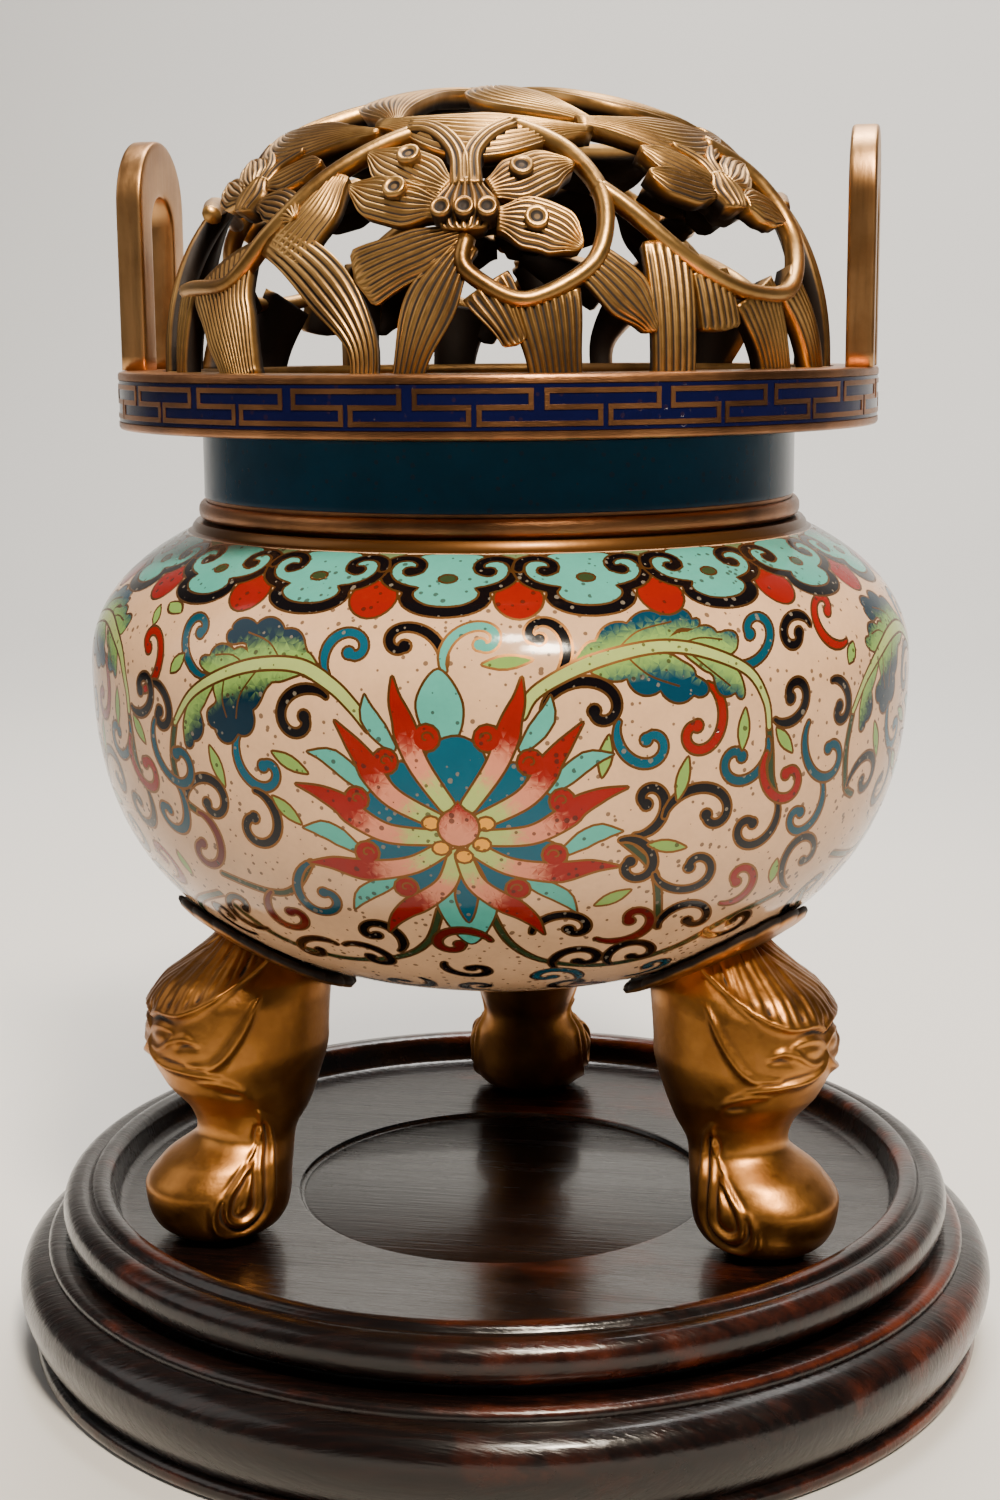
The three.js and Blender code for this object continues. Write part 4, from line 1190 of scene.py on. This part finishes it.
# %% Handles
def handle(name, side):
    half_width, half_slot, height, slot_top, thick = 8.3, 3.9, 28.7, 21.7, 3.4
    outer_centre, inner_centre = height - half_width, slot_top - half_slot
    rows = []
    places = [("up", s) for s in np.linspace(0, 1, 12)[:-1]] + [("arch", s) for s in np.linspace(0, 1, 49)]
    places += [("down", s) for s in np.linspace(0, 1, 12)[1:]]
    for where, s in places:
        if where == "arch":
            turn = math.pi * (1 - s)
            outer = np.array([half_width * math.cos(turn), outer_centre + half_width * math.sin(turn)])
            inner = np.array([half_slot * math.cos(turn), inner_centre + half_slot * math.sin(turn)])
        else:
            rise = s if where == "up" else 1 - s
            hand = -1 if where == "up" else 1
            outer = np.array([hand * half_width, rise * outer_centre])
            inner = np.array([hand * half_slot, rise * inner_centre])
        middle, reach = (outer + inner) / 2, (outer - inner) / 2
        turn = 2 * np.pi * (np.arange(32) + 0.5) / 32
        a = np.sign(np.cos(turn)) * np.abs(np.cos(turn)) ** 0.22
        b = np.sign(np.sin(turn)) * np.abs(np.sin(turn)) ** 0.22
        x = side * (RIM_RADIUS - 0.4 - thick / 2) + b * thick / 2
        rows.append(np.stack([x, middle[0] + a * reach[0], RIM_TOP + middle[1] + a * reach[1]], 1))
    points, faces = facing_out(*loft(rows))
    piece = make_piece(name, points, faces, brushed, sharp=0)
    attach(piece, "root")
    return piece


for name, side in (("left_handle", -1), ("right_handle", 1)):
    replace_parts(handle(name + "_plate", side), name)

# %% [markdown]
# ## Legs
# The legs were cast and then chased. The knee is a lion mask: a mane of fine strands above, a brow ridge, an
# almond eye, a curling leaf and a heavy jaw. Below it the leg narrows and swells again into a smooth paw,
# with a grooved drop on each inner side. The form is a smooth skin, and the chasing moves it in or out.

# %% Legs
LEG_FORM = np.array([
    [0, 0.075, 0.13, 0.125], [0.025, 0.075, 0.205, 0.195], [0.07, 0.075, 0.26, 0.25],
    [0.13, 0.075, 0.288, 0.276], [0.22, 0.075, 0.3, 0.285], [0.32, 0.035, 0.27, 0.26],
    [0.43, -0.05, 0.205, 0.2], [0.53, -0.07, 0.245, 0.225], [0.66, -0.04, 0.32, 0.29],
    [0.82, -0.028, 0.372, 0.325], [1.0, -0.043, 0.368, 0.325], [1.08, -0.075, 0.345, 0.31],
    [1.14, -0.12, 0.3, 0.28], [1.22, -0.18, 0.24, 0.25], [1.34, -0.235, 0.175, 0.215],
    [1.5, -0.25, 0.16, 0.2],
])
DEGREE = 0.175


def eased(keys, values, where):
    """Smooth curve through values at uneven keys, which doesn't overshoot."""
    slope = np.diff(values) / np.diff(keys)
    before, after = slope[:-1], slope[1:]
    tangent = np.zeros(len(values))
    tangent[1:-1] = np.where(before * after > 0, 2 * before * after / (before + after + 1e-12), 0)
    tangent[0], tangent[-1] = slope[0], slope[-1]
    i = np.clip(np.searchsorted(keys, where, side="right") - 1, 0, len(keys) - 2)
    wide = keys[i + 1] - keys[i]
    t = (where - keys[i]) / wide
    return ((2 * t**3 - 3 * t**2 + 1) * values[i] + (t**3 - 2 * t**2 + t) * wide * tangent[i]
            + (3 * t**2 - 2 * t**3) * values[i + 1] + (t**3 - t**2) * wide * tangent[i + 1])


def away_from(places, x, y):
    """Distance from each point to a line, and the share along the line where it is nearest."""
    line = smooth_line(places, 1.0)
    best, share = np.full(x.shape, 1e9), np.zeros(x.shape)
    where = arc_share(line)
    for k in range(len(line) - 1):
        a, d = line[k], line[k + 1] - line[k]
        t = np.clip(((x - a[0]) * d[0] + (y - a[1]) * d[1]) / max(d @ d, 1e-9), 0, 1)
        gap = np.hypot(x - a[0] - t * d[0], y - a[1] - t * d[1])
        nearer = gap < best
        best = np.where(nearer, gap, best)
        share = np.where(nearer, where[k] + t * (where[k + 1] - where[k]), share)
    return best, share


def on_skin(places):
    return [(angle * DEGREE, height * LEG_HEIGHT) for angle, height in places]


BROW = [(76, 1.26), (66, 1.15), (54, 1.06), (34, 0.99), (13, 0.985), (0, 0.955)]
CHEEK = [(82, 1.06), (78, 0.97), (70, 0.87), (62, 0.81), (54, 0.785), (40, 0.79)]
JAW = [(60, 0.74), (45, 0.755), (34, 0.765), (20, 0.775), (6, 0.81), (-2, 0.87)]
CREASE = [(78, 0.64), (70, 0.69), (58, 0.715), (46, 0.715)]
UPPER_LID = [(31, 0.915), (20, 0.935), (9, 0.925), (1, 0.895)]
LOWER_LID = [(29, 0.9), (22, 0.855), (14, 0.835), (5, 0.845)]
LEAF_CURL = [(46, 0.88), (38, 0.9), (30, 0.885), (24, 0.855)]
DROPS = [
    [(82, 0.56), (101, 0.43), (115, 0.315), (119, 0.2), (108, 0.1), (92, 0.06), (76, 0.07), (69, 0.12),
     (71, 0.2), (84, 0.33), (82, 0.56)],
    [(84, 0.47), (97, 0.36), (106, 0.26), (106, 0.17), (92, 0.12), (80, 0.15), (80, 0.22), (88, 0.34)],
    [(88, 0.4), (95, 0.28), (94, 0.2)],
]


def chasing(x, y):
    """Height of the chased work over the leg's skin; x runs from the front round to the back."""
    lift = np.zeros(x.shape)
    def ridge(places, width, height, taper=0.25):
        nonlocal lift
        gap, share = away_from(on_skin(places), x, y)
        swell = taper + (1 - taper) * np.sin(np.pi * np.clip(share, 0.02, 0.98)) ** 0.6
        lift = lift + height * swell * np.exp(-((gap / (width * swell + 0.1)) ** 2))
    brow_line = np.array(on_skin(BROW))[::-1]
    above = y - np.interp(x, brow_line[:, 0], brow_line[:, 1])
    mane = np.clip(above / 0.8, 0, 1) * np.clip((15.2 - x) / 1.5, 0, 1)
    strand = np.abs(np.sin((x * 0.8 + (y - 31) * 0.34 + 0.5 * np.sin(y * 0.5)) * math.pi / 1.05))
    clump = np.abs(np.sin((x * 0.8 + (y - 31) * 0.34) * math.pi / 3.4 + 0.4))
    lift = lift + mane * (0.26 * strand**0.7 + 0.4 * clump**0.6 - 0.35)
    under = np.clip(-above / 0.5, 0, 1) * np.exp(-np.clip(-above, 0, 9) / 1.2) * (x < 13)
    lift = lift - 0.55 * under
    ridge(BROW, 0.62, 0.85)
    ridge(CHEEK, 0.5, 0.6)
    ridge(JAW, 0.55, 0.75)
    ridge(CREASE, 0.5, 0.5)
    ridge([(76, 0.66), (68, 0.655), (58, 0.665)], 0.4, -0.3)
    ridge(UPPER_LID, 0.3, 0.5)
    ridge(LOWER_LID, 0.3, 0.45)
    ridge([(26, 0.895), (17, 0.89), (8, 0.885)], 0.75, 0.35)
    ridge(LEAF_CURL, 0.42, 0.5)
    ridge([(48, 0.86), (40, 0.87), (33, 0.85)], 0.35, -0.3)
    ridge([(58, 0.8), (46, 0.77), (30, 0.79), (14, 0.8)], 0.4, -0.35)
    for drop, height in zip(DROPS, (0.5, 0.4, 0.35)):
        ridge(drop, 0.42, height, 0.7)
    gap, _ = away_from(on_skin(DROPS[1]), x, y)
    lift = lift - 0.35 * np.exp(-((gap - 0.9) / 0.45) ** 2) * (x > 12)
    return lift


def under_bowl(radius, gap=0.0):
    """Height of the bowl's underside, or of a skin a gap below it."""
    share = np.clip(radius / (BELLY_RADIUS + gap), 0, 1)
    return BELLY_Z - (BELLY_TO_BASE + gap) * (1 - share**LOWER_CURVE) ** (1 / LOWER_CURVE)


def leg(name, direction):
    columns, rows = 240, 170
    turn = np.linspace(-180, 180, columns, endpoint=False)
    height = LEG_FORM[-1, 0] * np.linspace(0, 1, rows) ** 1.05
    t, h = np.meshgrid(turn, height)
    keys = LEG_FORM[:, 0]
    centre, out, across = (eased(keys, LEG_FORM[:, k], h.ravel()).reshape(h.shape) for k in (1, 2, 3))
    lift = chasing(np.abs(t) * DEGREE, h * LEG_HEIGHT)
    lift = lift * np.clip(h / 0.04, 0, 1)
    radial = LEG_CENTRE + centre * LEG_HEIGHT + (out * LEG_HEIGHT + lift) * np.cos(np.radians(t))
    side = (across * LEG_HEIGHT + lift) * np.sin(np.radians(t))
    z = TRAY_FLOOR + h * LEG_HEIGHT
    z = np.minimum(z, under_bowl(np.hypot(radial, side), 0.3) - 0.25)
    # The metal is darker where the chasing sinks below its smoothed form, and a little darker over the upper
    # part of the leg.
    smooth = lift.copy()
    for _ in range(10):
        beside_it = np.roll(smooth, 1, 1) + np.roll(smooth, -1, 1)
        smooth = (smooth + beside_it + np.roll(smooth, 1, 0) + np.roll(smooth, -1, 0)) / 5
    deep = np.clip((smooth - lift) * 2.2 + 0.06 * (h > 0.6), 0, 1)
    c, s = math.cos(math.radians(direction)), math.sin(math.radians(direction))
    skin = np.stack([radial * c - side * s, radial * s + side * c, z], -1)
    points, faces = facing_out(*loft(skin))
    deep = np.concatenate([deep.ravel(), [0, 0]])
    piece = make_piece(name, points, faces, gilt, sharp=0, attributes={"recess_and_shade": deep})
    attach(piece, "root")
    return piece


LEG_TURN = 5
LEGS = (
    ("leg_back", 90 + LEG_TURN), ("leg_front_left", 210 + LEG_TURN), ("leg_front_right", 330 + LEG_TURN))
for name, direction in LEGS:
    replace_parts(leg(name + "_cast", direction), name)

# %% [markdown]
# ### Flanges
# Each leg spreads into a thin scalloped plate that follows the bowl and hides the joint. Its side against
# the bowl is darkened as painted shade, and only the band beside the knee is bright.


# %% Flanges
FLANGE_LENGTH, FLANGE_WIDTH, FLANGE_MIDDLE, SCALLOPS = 20.4, 24.0, LEG_CENTRE - 5.0, 9
# Rows of the flange: share of the width, drop below the bowl, and darkness, which is painted shade on the
# side against the bowl.
FLANGE_SECTION = (
    (0.5, 1.75, 0.5), (0.8, 1.7, 0.3), (0.93, 1.85, 0.1), (1.0, 1.8, 0.2),
    (1.03, 1.3, 0.8), (1.02, 0.8, 1.0), (0.99, 0.45, 1.0), (0.5, 0.4, 1.0))


def flange(name, direction):
    """The section gives a share of the width, a drop below the bowl and how dark the place is, with painted
    shade on the side against the bowl.
    """
    columns = 216
    turn = 2 * np.pi * np.arange(columns) / columns
    rows, deep = [], []
    for share, drop, hollow_and_shade in FLANGE_SECTION:
        lobes = 1 + (0.035 * np.abs(np.cos(SCALLOPS * turn)) ** 0.7 if share > 0.85 else 0.0)
        x = FLANGE_MIDDLE + FLANGE_LENGTH / 2 * share * lobes * np.cos(turn)
        y = FLANGE_WIDTH / 2 * share * lobes * np.sin(turn)
        rows.append(np.stack([x, y, under_bowl(np.hypot(x, y)) - drop], 1))
        deep.append(np.full(columns, hollow_and_shade))
    x, y, z = np.moveaxis(np.array(rows), -1, 0)
    c, s = math.cos(math.radians(direction)), math.sin(math.radians(direction))
    points, faces = facing_out(*loft(np.stack([x * c - y * s, x * s + y * c, z], -1)))
    recess_and_shade = np.concatenate([np.ravel(deep), [0.5, 0.8]])
    piece = make_piece(name, points, faces, gilt, sharp=0, attributes={"recess_and_shade": recess_and_shade})
    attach(piece, "root")


for name, direction in LEGS:
    flange(name + "_flange", direction)

# %% [markdown]
# ## Pierced lid
# The lid was cast in one piece and then chased: broad ribbed leaves stand on the rim, rolled stems swing
# between them, butterflies spread over them and a wreath of leaves closes the crown. Places on the dome are
# an angle from the front and a reach that is 0 at the crown and 1 at the edge.

# %% Dome of the lid
MERIDIAN = math.pi / 2 * math.hypot(LID_RADIUS, LID_HEIGHT) / math.sqrt(2)


def dome_chart(places):
    angle = np.radians([a + LID_TURN for a, _ in places])
    reach = np.array([r for _, r in places])
    return np.stack([reach * np.sin(angle), -reach * np.cos(angle)], 1)


def from_chart(spots):
    reach = np.maximum(np.hypot(spots[:, 0], spots[:, 1]), 1e-6)
    rise = np.clip(1 - reach, 0, None) * math.pi / 2
    radius = LID_RADIUS * np.cos(rise) ** (2 / DOME_CURVE)
    height = LID_HEIGHT * np.sin(rise) ** (2 / DOME_CURVE)
    drop = np.clip(reach - 1, 0, None) * MERIDIAN
    return np.stack([spots[:, 0] / reach * radius, spots[:, 1] / reach * radius, height - drop], 1)


def on_dome(points, lift):
    """Moves points onto the dome and lifts them off it."""
    radius = np.maximum(np.hypot(points[..., 0], points[..., 1]), 1e-6)
    out = points[..., :2] / radius[..., None]
    z = np.maximum(points[..., 2], 0)
    size = ((radius / LID_RADIUS) ** DOME_CURVE + (z / LID_HEIGHT) ** DOME_CURVE) ** (1 / DOME_CURVE)
    size = np.where(points[..., 2] <= 0, radius / LID_RADIUS, size)
    n_out = (radius / size / LID_RADIUS) ** (DOME_CURVE - 1) / LID_RADIUS
    n_up = (z / size / LID_HEIGHT) ** (DOME_CURVE - 1) / LID_HEIGHT
    length = np.hypot(n_out, n_up)
    low = np.maximum(points[..., 2], FIT - SEAT_DEPTH)
    foot_r = radius / size + n_out / length * lift
    foot_z = np.where(points[..., 2] <= 0, low, z / size + n_up / length * lift)
    return np.concatenate([out * foot_r[..., None], foot_z[..., None]], -1)


def beside(middle, x, y):
    """Place that lies x to the right of and y above a middle, as seen from outside."""
    angle, reach = middle
    turn = math.radians(angle)
    right = reach * math.sin(turn) + (x * math.cos(turn) - y * math.sin(turn)) / MERIDIAN
    down = reach * math.cos(turn) - (x * math.sin(turn) + y * math.cos(turn)) / MERIDIAN
    return (math.degrees(math.atan2(right, down)), math.hypot(right, down))


def strip(places, steps, section):
    """Skin along a line on the dome; the section gives sideways, lift and darkness (grooves, and painted
    shade on undersides) for a share of the way.
    """
    line = smooth_line(dome_chart(places), 0.01)
    share = arc_share(line)
    want = np.linspace(0, 1, steps + 1)
    def route_at(shares):
        return from_chart(np.stack([np.interp(shares, share, line[:, k]) for k in (0, 1)], 1))
    here, ahead = route_at(want), route_at(np.minimum(want + 0.03, 1))
    behind = route_at(np.maximum(want - 0.03, 0))
    outward = on_dome(here, np.ones(len(here))) - on_dome(here, np.zeros(len(here)))
    sideways = np.cross(ahead - behind, outward)
    sideways /= np.linalg.norm(sideways, axis=1)[:, None]
    rows, hollow_and_shade = [], []
    for k, s in enumerate(want):
        side, lift, deep = section(s)
        rows.append(on_dome(here[k] + sideways[k] * np.asarray(side)[:, None], np.asarray(lift)))
        hollow_and_shade.append(deep)
    points, faces = loft(rows)
    points, faces = facing_out(points, faces)
    deep = np.concatenate([np.ravel(hollow_and_shade), [0.3, 0.3]])
    return points, faces, deep


def width_at(widths, share):
    keys = np.linspace(0, 1, len(widths))
    i = min(int(share * (len(widths) - 1)), len(widths) - 2)
    t = (share - keys[i]) / (keys[i + 1] - keys[i])
    return widths[i] + (widths[i + 1] - widths[i]) * (1 - math.cos(math.pi * t)) / 2


def leaf_strip(places, widths, raised=0.0, pitch=0.95, bend=0.5, foot=False):
    """Leaf with fine lengthwise ribs that is fuller in the middle and thin at its edges."""
    ribs = max(2, int(round(max(widths) / pitch)))
    across = ribs * 4
    s = np.linspace(-1, 1, across + 1)
    groove = np.abs(np.cos(s * ribs * math.pi / 2))
    def section(share):
        ends = 1.0 if foot else min(1.0, (1 - share) / 0.08)
        half = max(width_at(widths, share) / 2 * math.sqrt(max(1 - (1 - ends) ** 2, 0.02)), 0.12)
        fade = min(1.0, share / 0.12, 1.0 if foot else (1 - share) / 0.12)
        dome = raised + bend * np.sqrt(np.clip(1 - s**2, 0, 1)) - bend * 0.6
        lift = dome + (0.42 * groove - 0.3) * fade * min(1.0, half / 1.4)
        low = raised * 0.6 - LID_WALL
        side = np.concatenate([s * half, [half * 0.85, 0, -half * 0.85]])
        lift = np.concatenate([lift, [low, low - 0.1, low]])
        # Darker in the grooves between the ribs, and painted shade on the points under the leaf.
        deep = np.concatenate([0.75 * (1 - groove) * fade + 0.1, [0.8, 0.8, 0.8]])
        return side, np.minimum(lift, 0.95 + raised), deep
    return strip(places, 26, section)


def stem_strip(places, width, steps):
    turn = 2 * np.pi * np.arange(12) / 12
    def section(share):
        # The underside of the stem is darkened as painted shade.
        return width / 2 * np.cos(turn), -0.35 + 1.25 * np.sin(turn), 0.35 * (np.sin(turn) < -0.2) + 0.05
    return strip(places, steps, section)


def knob(place, radius, raised):
    """Small ring-shaped spot, as on a wing or along the head."""
    middle = from_chart(dome_chart([place]))[0]
    turn = math.radians(place[0] + LID_TURN)
    across = np.array([math.cos(turn), math.sin(turn), 0])
    up = np.cross(across, on_dome(middle, 1.0) - on_dome(middle, 0.0))
    round_turn = 2 * np.pi * np.arange(16) / 16
    rows, hollow_and_shade = [], []
    ring = np.cos(round_turn)[:, None] * across + np.sin(round_turn)[:, None] * up
    # Rows give size, lift and darkness: painted shade at the foot of the spot, and darker in its hollow
    # middle.
    section = [(1.0, -1.0, 0.5), (1.0, raised - 0.5, 0.6), (0.95, raised - 0.1, 0.1), (0.8, raised, 0.0)]
    section += [(0.6, raised - 0.1, 0.3), (0.42, raised - 0.35, 0.9), (0.2, raised - 0.3, 0.6)]
    for size, lift, deep in section:
        spots = middle + radius * size * ring
        rows.append(on_dome(spots, np.full(16, lift)))
        hollow_and_shade.append(np.full(16, deep))
    points, faces = facing_out(*loft(rows))
    return points, faces, np.concatenate([np.ravel(hollow_and_shade), [0.5, 0.6]])


# %% Butterflies, leaves and stems
WINGS = [
    [(-2.6, 1.6), (-6, 4.4), (-9.4, 7.8), (-11.6, 10.2)], [(-3.6, -1), (-8, 0.8), (-11.4, 2.8), (-14.2, 5)],
    [(2.4, 1.4), (5.6, 3.4), (8.6, 6), (11.4, 7.4)], [(3.6, -2.8), (7.6, -2.7), (11, -3.2), (14.6, -4.6)],
]
FEELERS = [
    [(-0.9, 1.6), (-1.3, 6.6), (-3, 10.8), (-5, 13.3), (-6.9, 13.9)],
    [(0.3, 1.6), (0, 6.6), (1.1, 10.1), (2.6, 12.4), (3.9, 13.7)],
]


def butterfly(middle, size, full):
    def at(x, y):
        return beside(middle, x * size, y * size)
    def blade(spots, widths, *rest, **more):
        return leaf_strip([at(*p) for p in spots], [w * size for w in widths], *rest, **more)
    parts = [blade(wing, [3, 6.4, 6, 1.8], 0.5, 0.8) for wing in WINGS]
    parts.append(blade([(-0.4, 2.6), (-0.4, -1), (-0.4, -4.8)], [4, 8, 5], 0.7, 1.2, bend=0.9))
    if not full:
        for x in (-2.2, 2.0):
            parts.append(blade([(x * 0.4, 2), (x * 0.6, 6), (x * 2.2, 10)], [2, 1.8, 1.2], 0.6))
        return parts
    for feeler in FEELERS:
        parts.append(blade(feeler, [2.6, 2.3, 2.1], 0.9, 0.8, foot=True))
    parts += [knob(at(x, -2.4), 1.15, 2.3) for x in (-3, -0.3, 2.4)]
    parts += [knob(at(x, y), 1.35, 1.75) for x, y in ((-6.8, 6.9), (-8.5, 1.9), (5.7, 4.4), (8.3, -2.7))]
    return parts


def lid_half():
    return [
        *butterfly((0, 0.66), 1.0, True), *butterfly((-47, 0.62), 0.72, False),
        *butterfly((53, 0.62), 0.76, False),
        stem_strip([(-62, 0.85), (-46, 0.84), (-38, 0.73), (-29, 0.58), (-14, 0.44)], 2, 40),
        stem_strip([(0, 0.75), (0, 0.82), (9, 0.88), (20, 0.81), (24, 0.67), (20, 0.52), (9, 0.42)], 2, 60),
        stem_strip([(23, 0.62), (36, 0.78), (48, 0.86), (62, 0.86), (72, 0.74), (72, 0.58), (62, 0.46)], 2,
                   60),
        leaf_strip([(-27, 0.58), (-29, 0.68), (-34, 0.78)], [3, 6, 8]),
        leaf_strip([(-37, 0.74), (-25, 0.83), (-17, 0.95), (-16.5, 1.02)], [4.5, 6, 3], foot=True),
        leaf_strip([(-50, 0.8), (-46, 0.9), (-41, 1.02)], [13, 9, 6], foot=True),
        leaf_strip([(-61, 0.84), (-62, 1.02)], [5, 3.4], foot=True),
        leaf_strip([(0, 0.74), (-8, 0.78), (-18, 0.84)], [3, 6, 7.5]),
        leaf_strip([(0, 0.76), (-5, 0.87), (-9.5, 1.02)], [3, 6, 3.4], foot=True),
        leaf_strip([(3, 0.85), (8, 0.96)], [6, 3.4]),
        leaf_strip([(12, 0.87), (14, 1.02)], [8.5, 6], foot=True),
        leaf_strip([(20, 0.8), (25, 0.86), (30, 0.94)], [5, 6, 2]),
        leaf_strip([(34, 0.76), (33.5, 1.02)], [6, 5.4], foot=True),
        leaf_strip([(42, 0.82), (43, 0.94)], [5.5, 6]),
        leaf_strip([(52, 0.86), (57, 1.02)], [8.5, 6], foot=True),
        leaf_strip([(63, 0.84), (74, 1.02)], [6, 5], foot=True),
        leaf_strip([(92, 0.62), (86, 0.8), (86, 1.02)], [3, 7, 5], foot=True),
        leaf_strip([(92, 0.62), (98, 0.8), (104, 1.02)], [3, 7, 5], foot=True),
        stem_strip([(76, 0.66), (92, 0.62), (112, 0.66)], 2, 24),
    ]


def crown():
    parts = []
    for i in range(7):
        a = 360 * i / 7
        parts.append(leaf_strip([(a - 26, 0.4), (a, 0.45), (a + 28, 0.44)], [2, 9.6, 1.4], 0.3))
        parts.append(leaf_strip([(a, 0.02), (a + 10, 0.22), (a + 30, 0.4)], [3, 9.4, 1.6], 0.1))
    parts.append(knob((0, 0.001), 5, 0.4))
    return parts


def lid_ring():
    inner, outer = LID_RADIUS - 3.2, LID_RADIUS + 0.4
    low = FIT - SEAT_DEPTH
    line = [(inner, low), (outer, low), (outer, -0.2), (outer - 0.25, 0), (inner, 0)]
    turn = 2 * np.pi * np.arange(180) / 180
    rows = np.array([[(r * math.sin(t), -r * math.cos(t), z) for r, z in line] for t in turn])
    faces = grid_faces(181, 5)
    faces = [tuple(k % 900 for k in face) for face in faces]
    points, faces = facing_out(rows.reshape(-1, 3), faces)
    return points, faces, np.full(len(points), 0.4)


half = lid_half()
back = [(p * (-1, -1, 1), f, d) for p, f, d in half]
whole = [*half, *back, *crown(), lid_ring()]
points, faces = join([(p, f) for p, f, _ in whole])
# How dark each point is: grooves and hollows, and painted shade on undersides.
hollow_and_shade = np.concatenate([d for _, _, d in whole])
points = points + (0, 0, RIM_TOP)
lid = make_piece("pierced_dome", points, faces, brass, sharp=0, attributes={"recess_and_shade": hollow_and_shade})
print("lid", len(faces), "faces")
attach(lid, "root")
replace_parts(lid, "pierced_lid")

# %% [markdown]
# ## Floor, light and camera
# Two warm lamps from the upper right make the highlights on the glass, the gilding and the lacquer. Three
# broad lights brighten the pale floor and the sides. The camera looks from a little to the right and above.


# %% Floor, light and camera
def make_floor():
    material, tree, shader, place = new_material("pale_floor")
    clouds = noise(tree, place, 3.0, detail=2.0)
    link(tree, blend(tree, clouds, paint(196, 193, 188), paint(212, 209, 204)), shader.inputs["Base Color"])
    shader.inputs["Roughness"].default_value = 0.75
    back, radius, half_width, top = 0.6, 0.55, 2.5, 2.6
    turn = np.linspace(0, math.pi / 2, 16)[1:]
    sweep = [(back + radius * math.sin(t), radius * (1 - math.cos(t))) for t in turn]
    line = [(-1.6, 0), (-0.4, 0), (back, 0), *sweep, (back + radius, top)]
    points = np.array([(x, y, z - 0.0001) for y, z in line for x in (-half_width, half_width)]) / MM
    faces = [(2 * i, 2 * i + 1, 2 * i + 3, 2 * i + 2) for i in range(len(line) - 1)]
    floor = make_piece("pale_floor", points, faces, material, sharp=0)


def hang(name, data, place, target):
    light = bpy.data.objects.new(name, data)
    scene.collection.objects.link(light)
    light.location = place
    light.rotation_euler = (Vector(target) - Vector(place)).to_track_quat("-Z", "Y").to_euler()


def area_light(name, place, target, size, power, colour):
    data = bpy.data.lights.new(name, "AREA")
    data.shape, data.size, data.energy, data.color = "SQUARE", size, power, colour
    hang(name, data, place, target)


def spot_light(name, place, target, size, power, colour):
    """A lamp whose soft cone covers the piece, so that the floor in front throws little light up."""
    data = bpy.data.lights.new(name, "SPOT")
    data.shadow_soft_size, data.energy, data.color = size, power, colour
    data.spot_size, data.spot_blend = math.radians(34), 0.9
    hang(name, data, place, target)


make_floor()
spot_light("key", (0.28, -0.58, 0.8), (0, 0, 0.1), 0.07, 64.0, (1.0, 0.87, 0.7))
spot_light("second", (0.14, -0.5, 0.9), (0, 0, 0.1), 0.05, 18.0, (1.0, 0.9, 0.76))
area_light("fill", (-0.75, -0.2, 0.6), (0, 0, 0.12), 0.6, 1.5, (1.0, 0.95, 0.9))
area_light("back", (0.1, 0.5, 0.95), (0, 0.1, 0.1), 0.5, 5.0, (1.0, 0.97, 0.93))
area_light("wall", (0.0, 0.3, 1.1), (0, 1.0, 0.35), 0.5, 24.0, (1.0, 0.97, 0.93))
world = bpy.data.worlds.new("room")
world.use_nodes = True
world.node_tree.nodes["Background"].inputs[0].default_value = (0.92, 0.93, 0.95, 1)
world.node_tree.nodes["Background"].inputs[1].default_value = 0.1
scene.world = world

camera_data = bpy.data.cameras.new("camera")
camera_data.sensor_width, camera_data.sensor_height, camera_data.lens = 36.0, 36.0, 54.46
camera_data.clip_start = 0.01
camera = bpy.data.objects.new("camera", camera_data)
scene.collection.objects.link(camera)
VIEW = math.radians(11.0)
AWAY, ASIDE = 0.29088, -0.00058
camera.location = (
    AWAY * math.sin(VIEW) + ASIDE * math.cos(VIEW), -AWAY * math.cos(VIEW) + ASIDE * math.sin(VIEW),
    0.13028)
camera.rotation_euler = (math.radians(90) - 0.1811, 0.008, VIEW - 0.0029)
scene.camera = camera
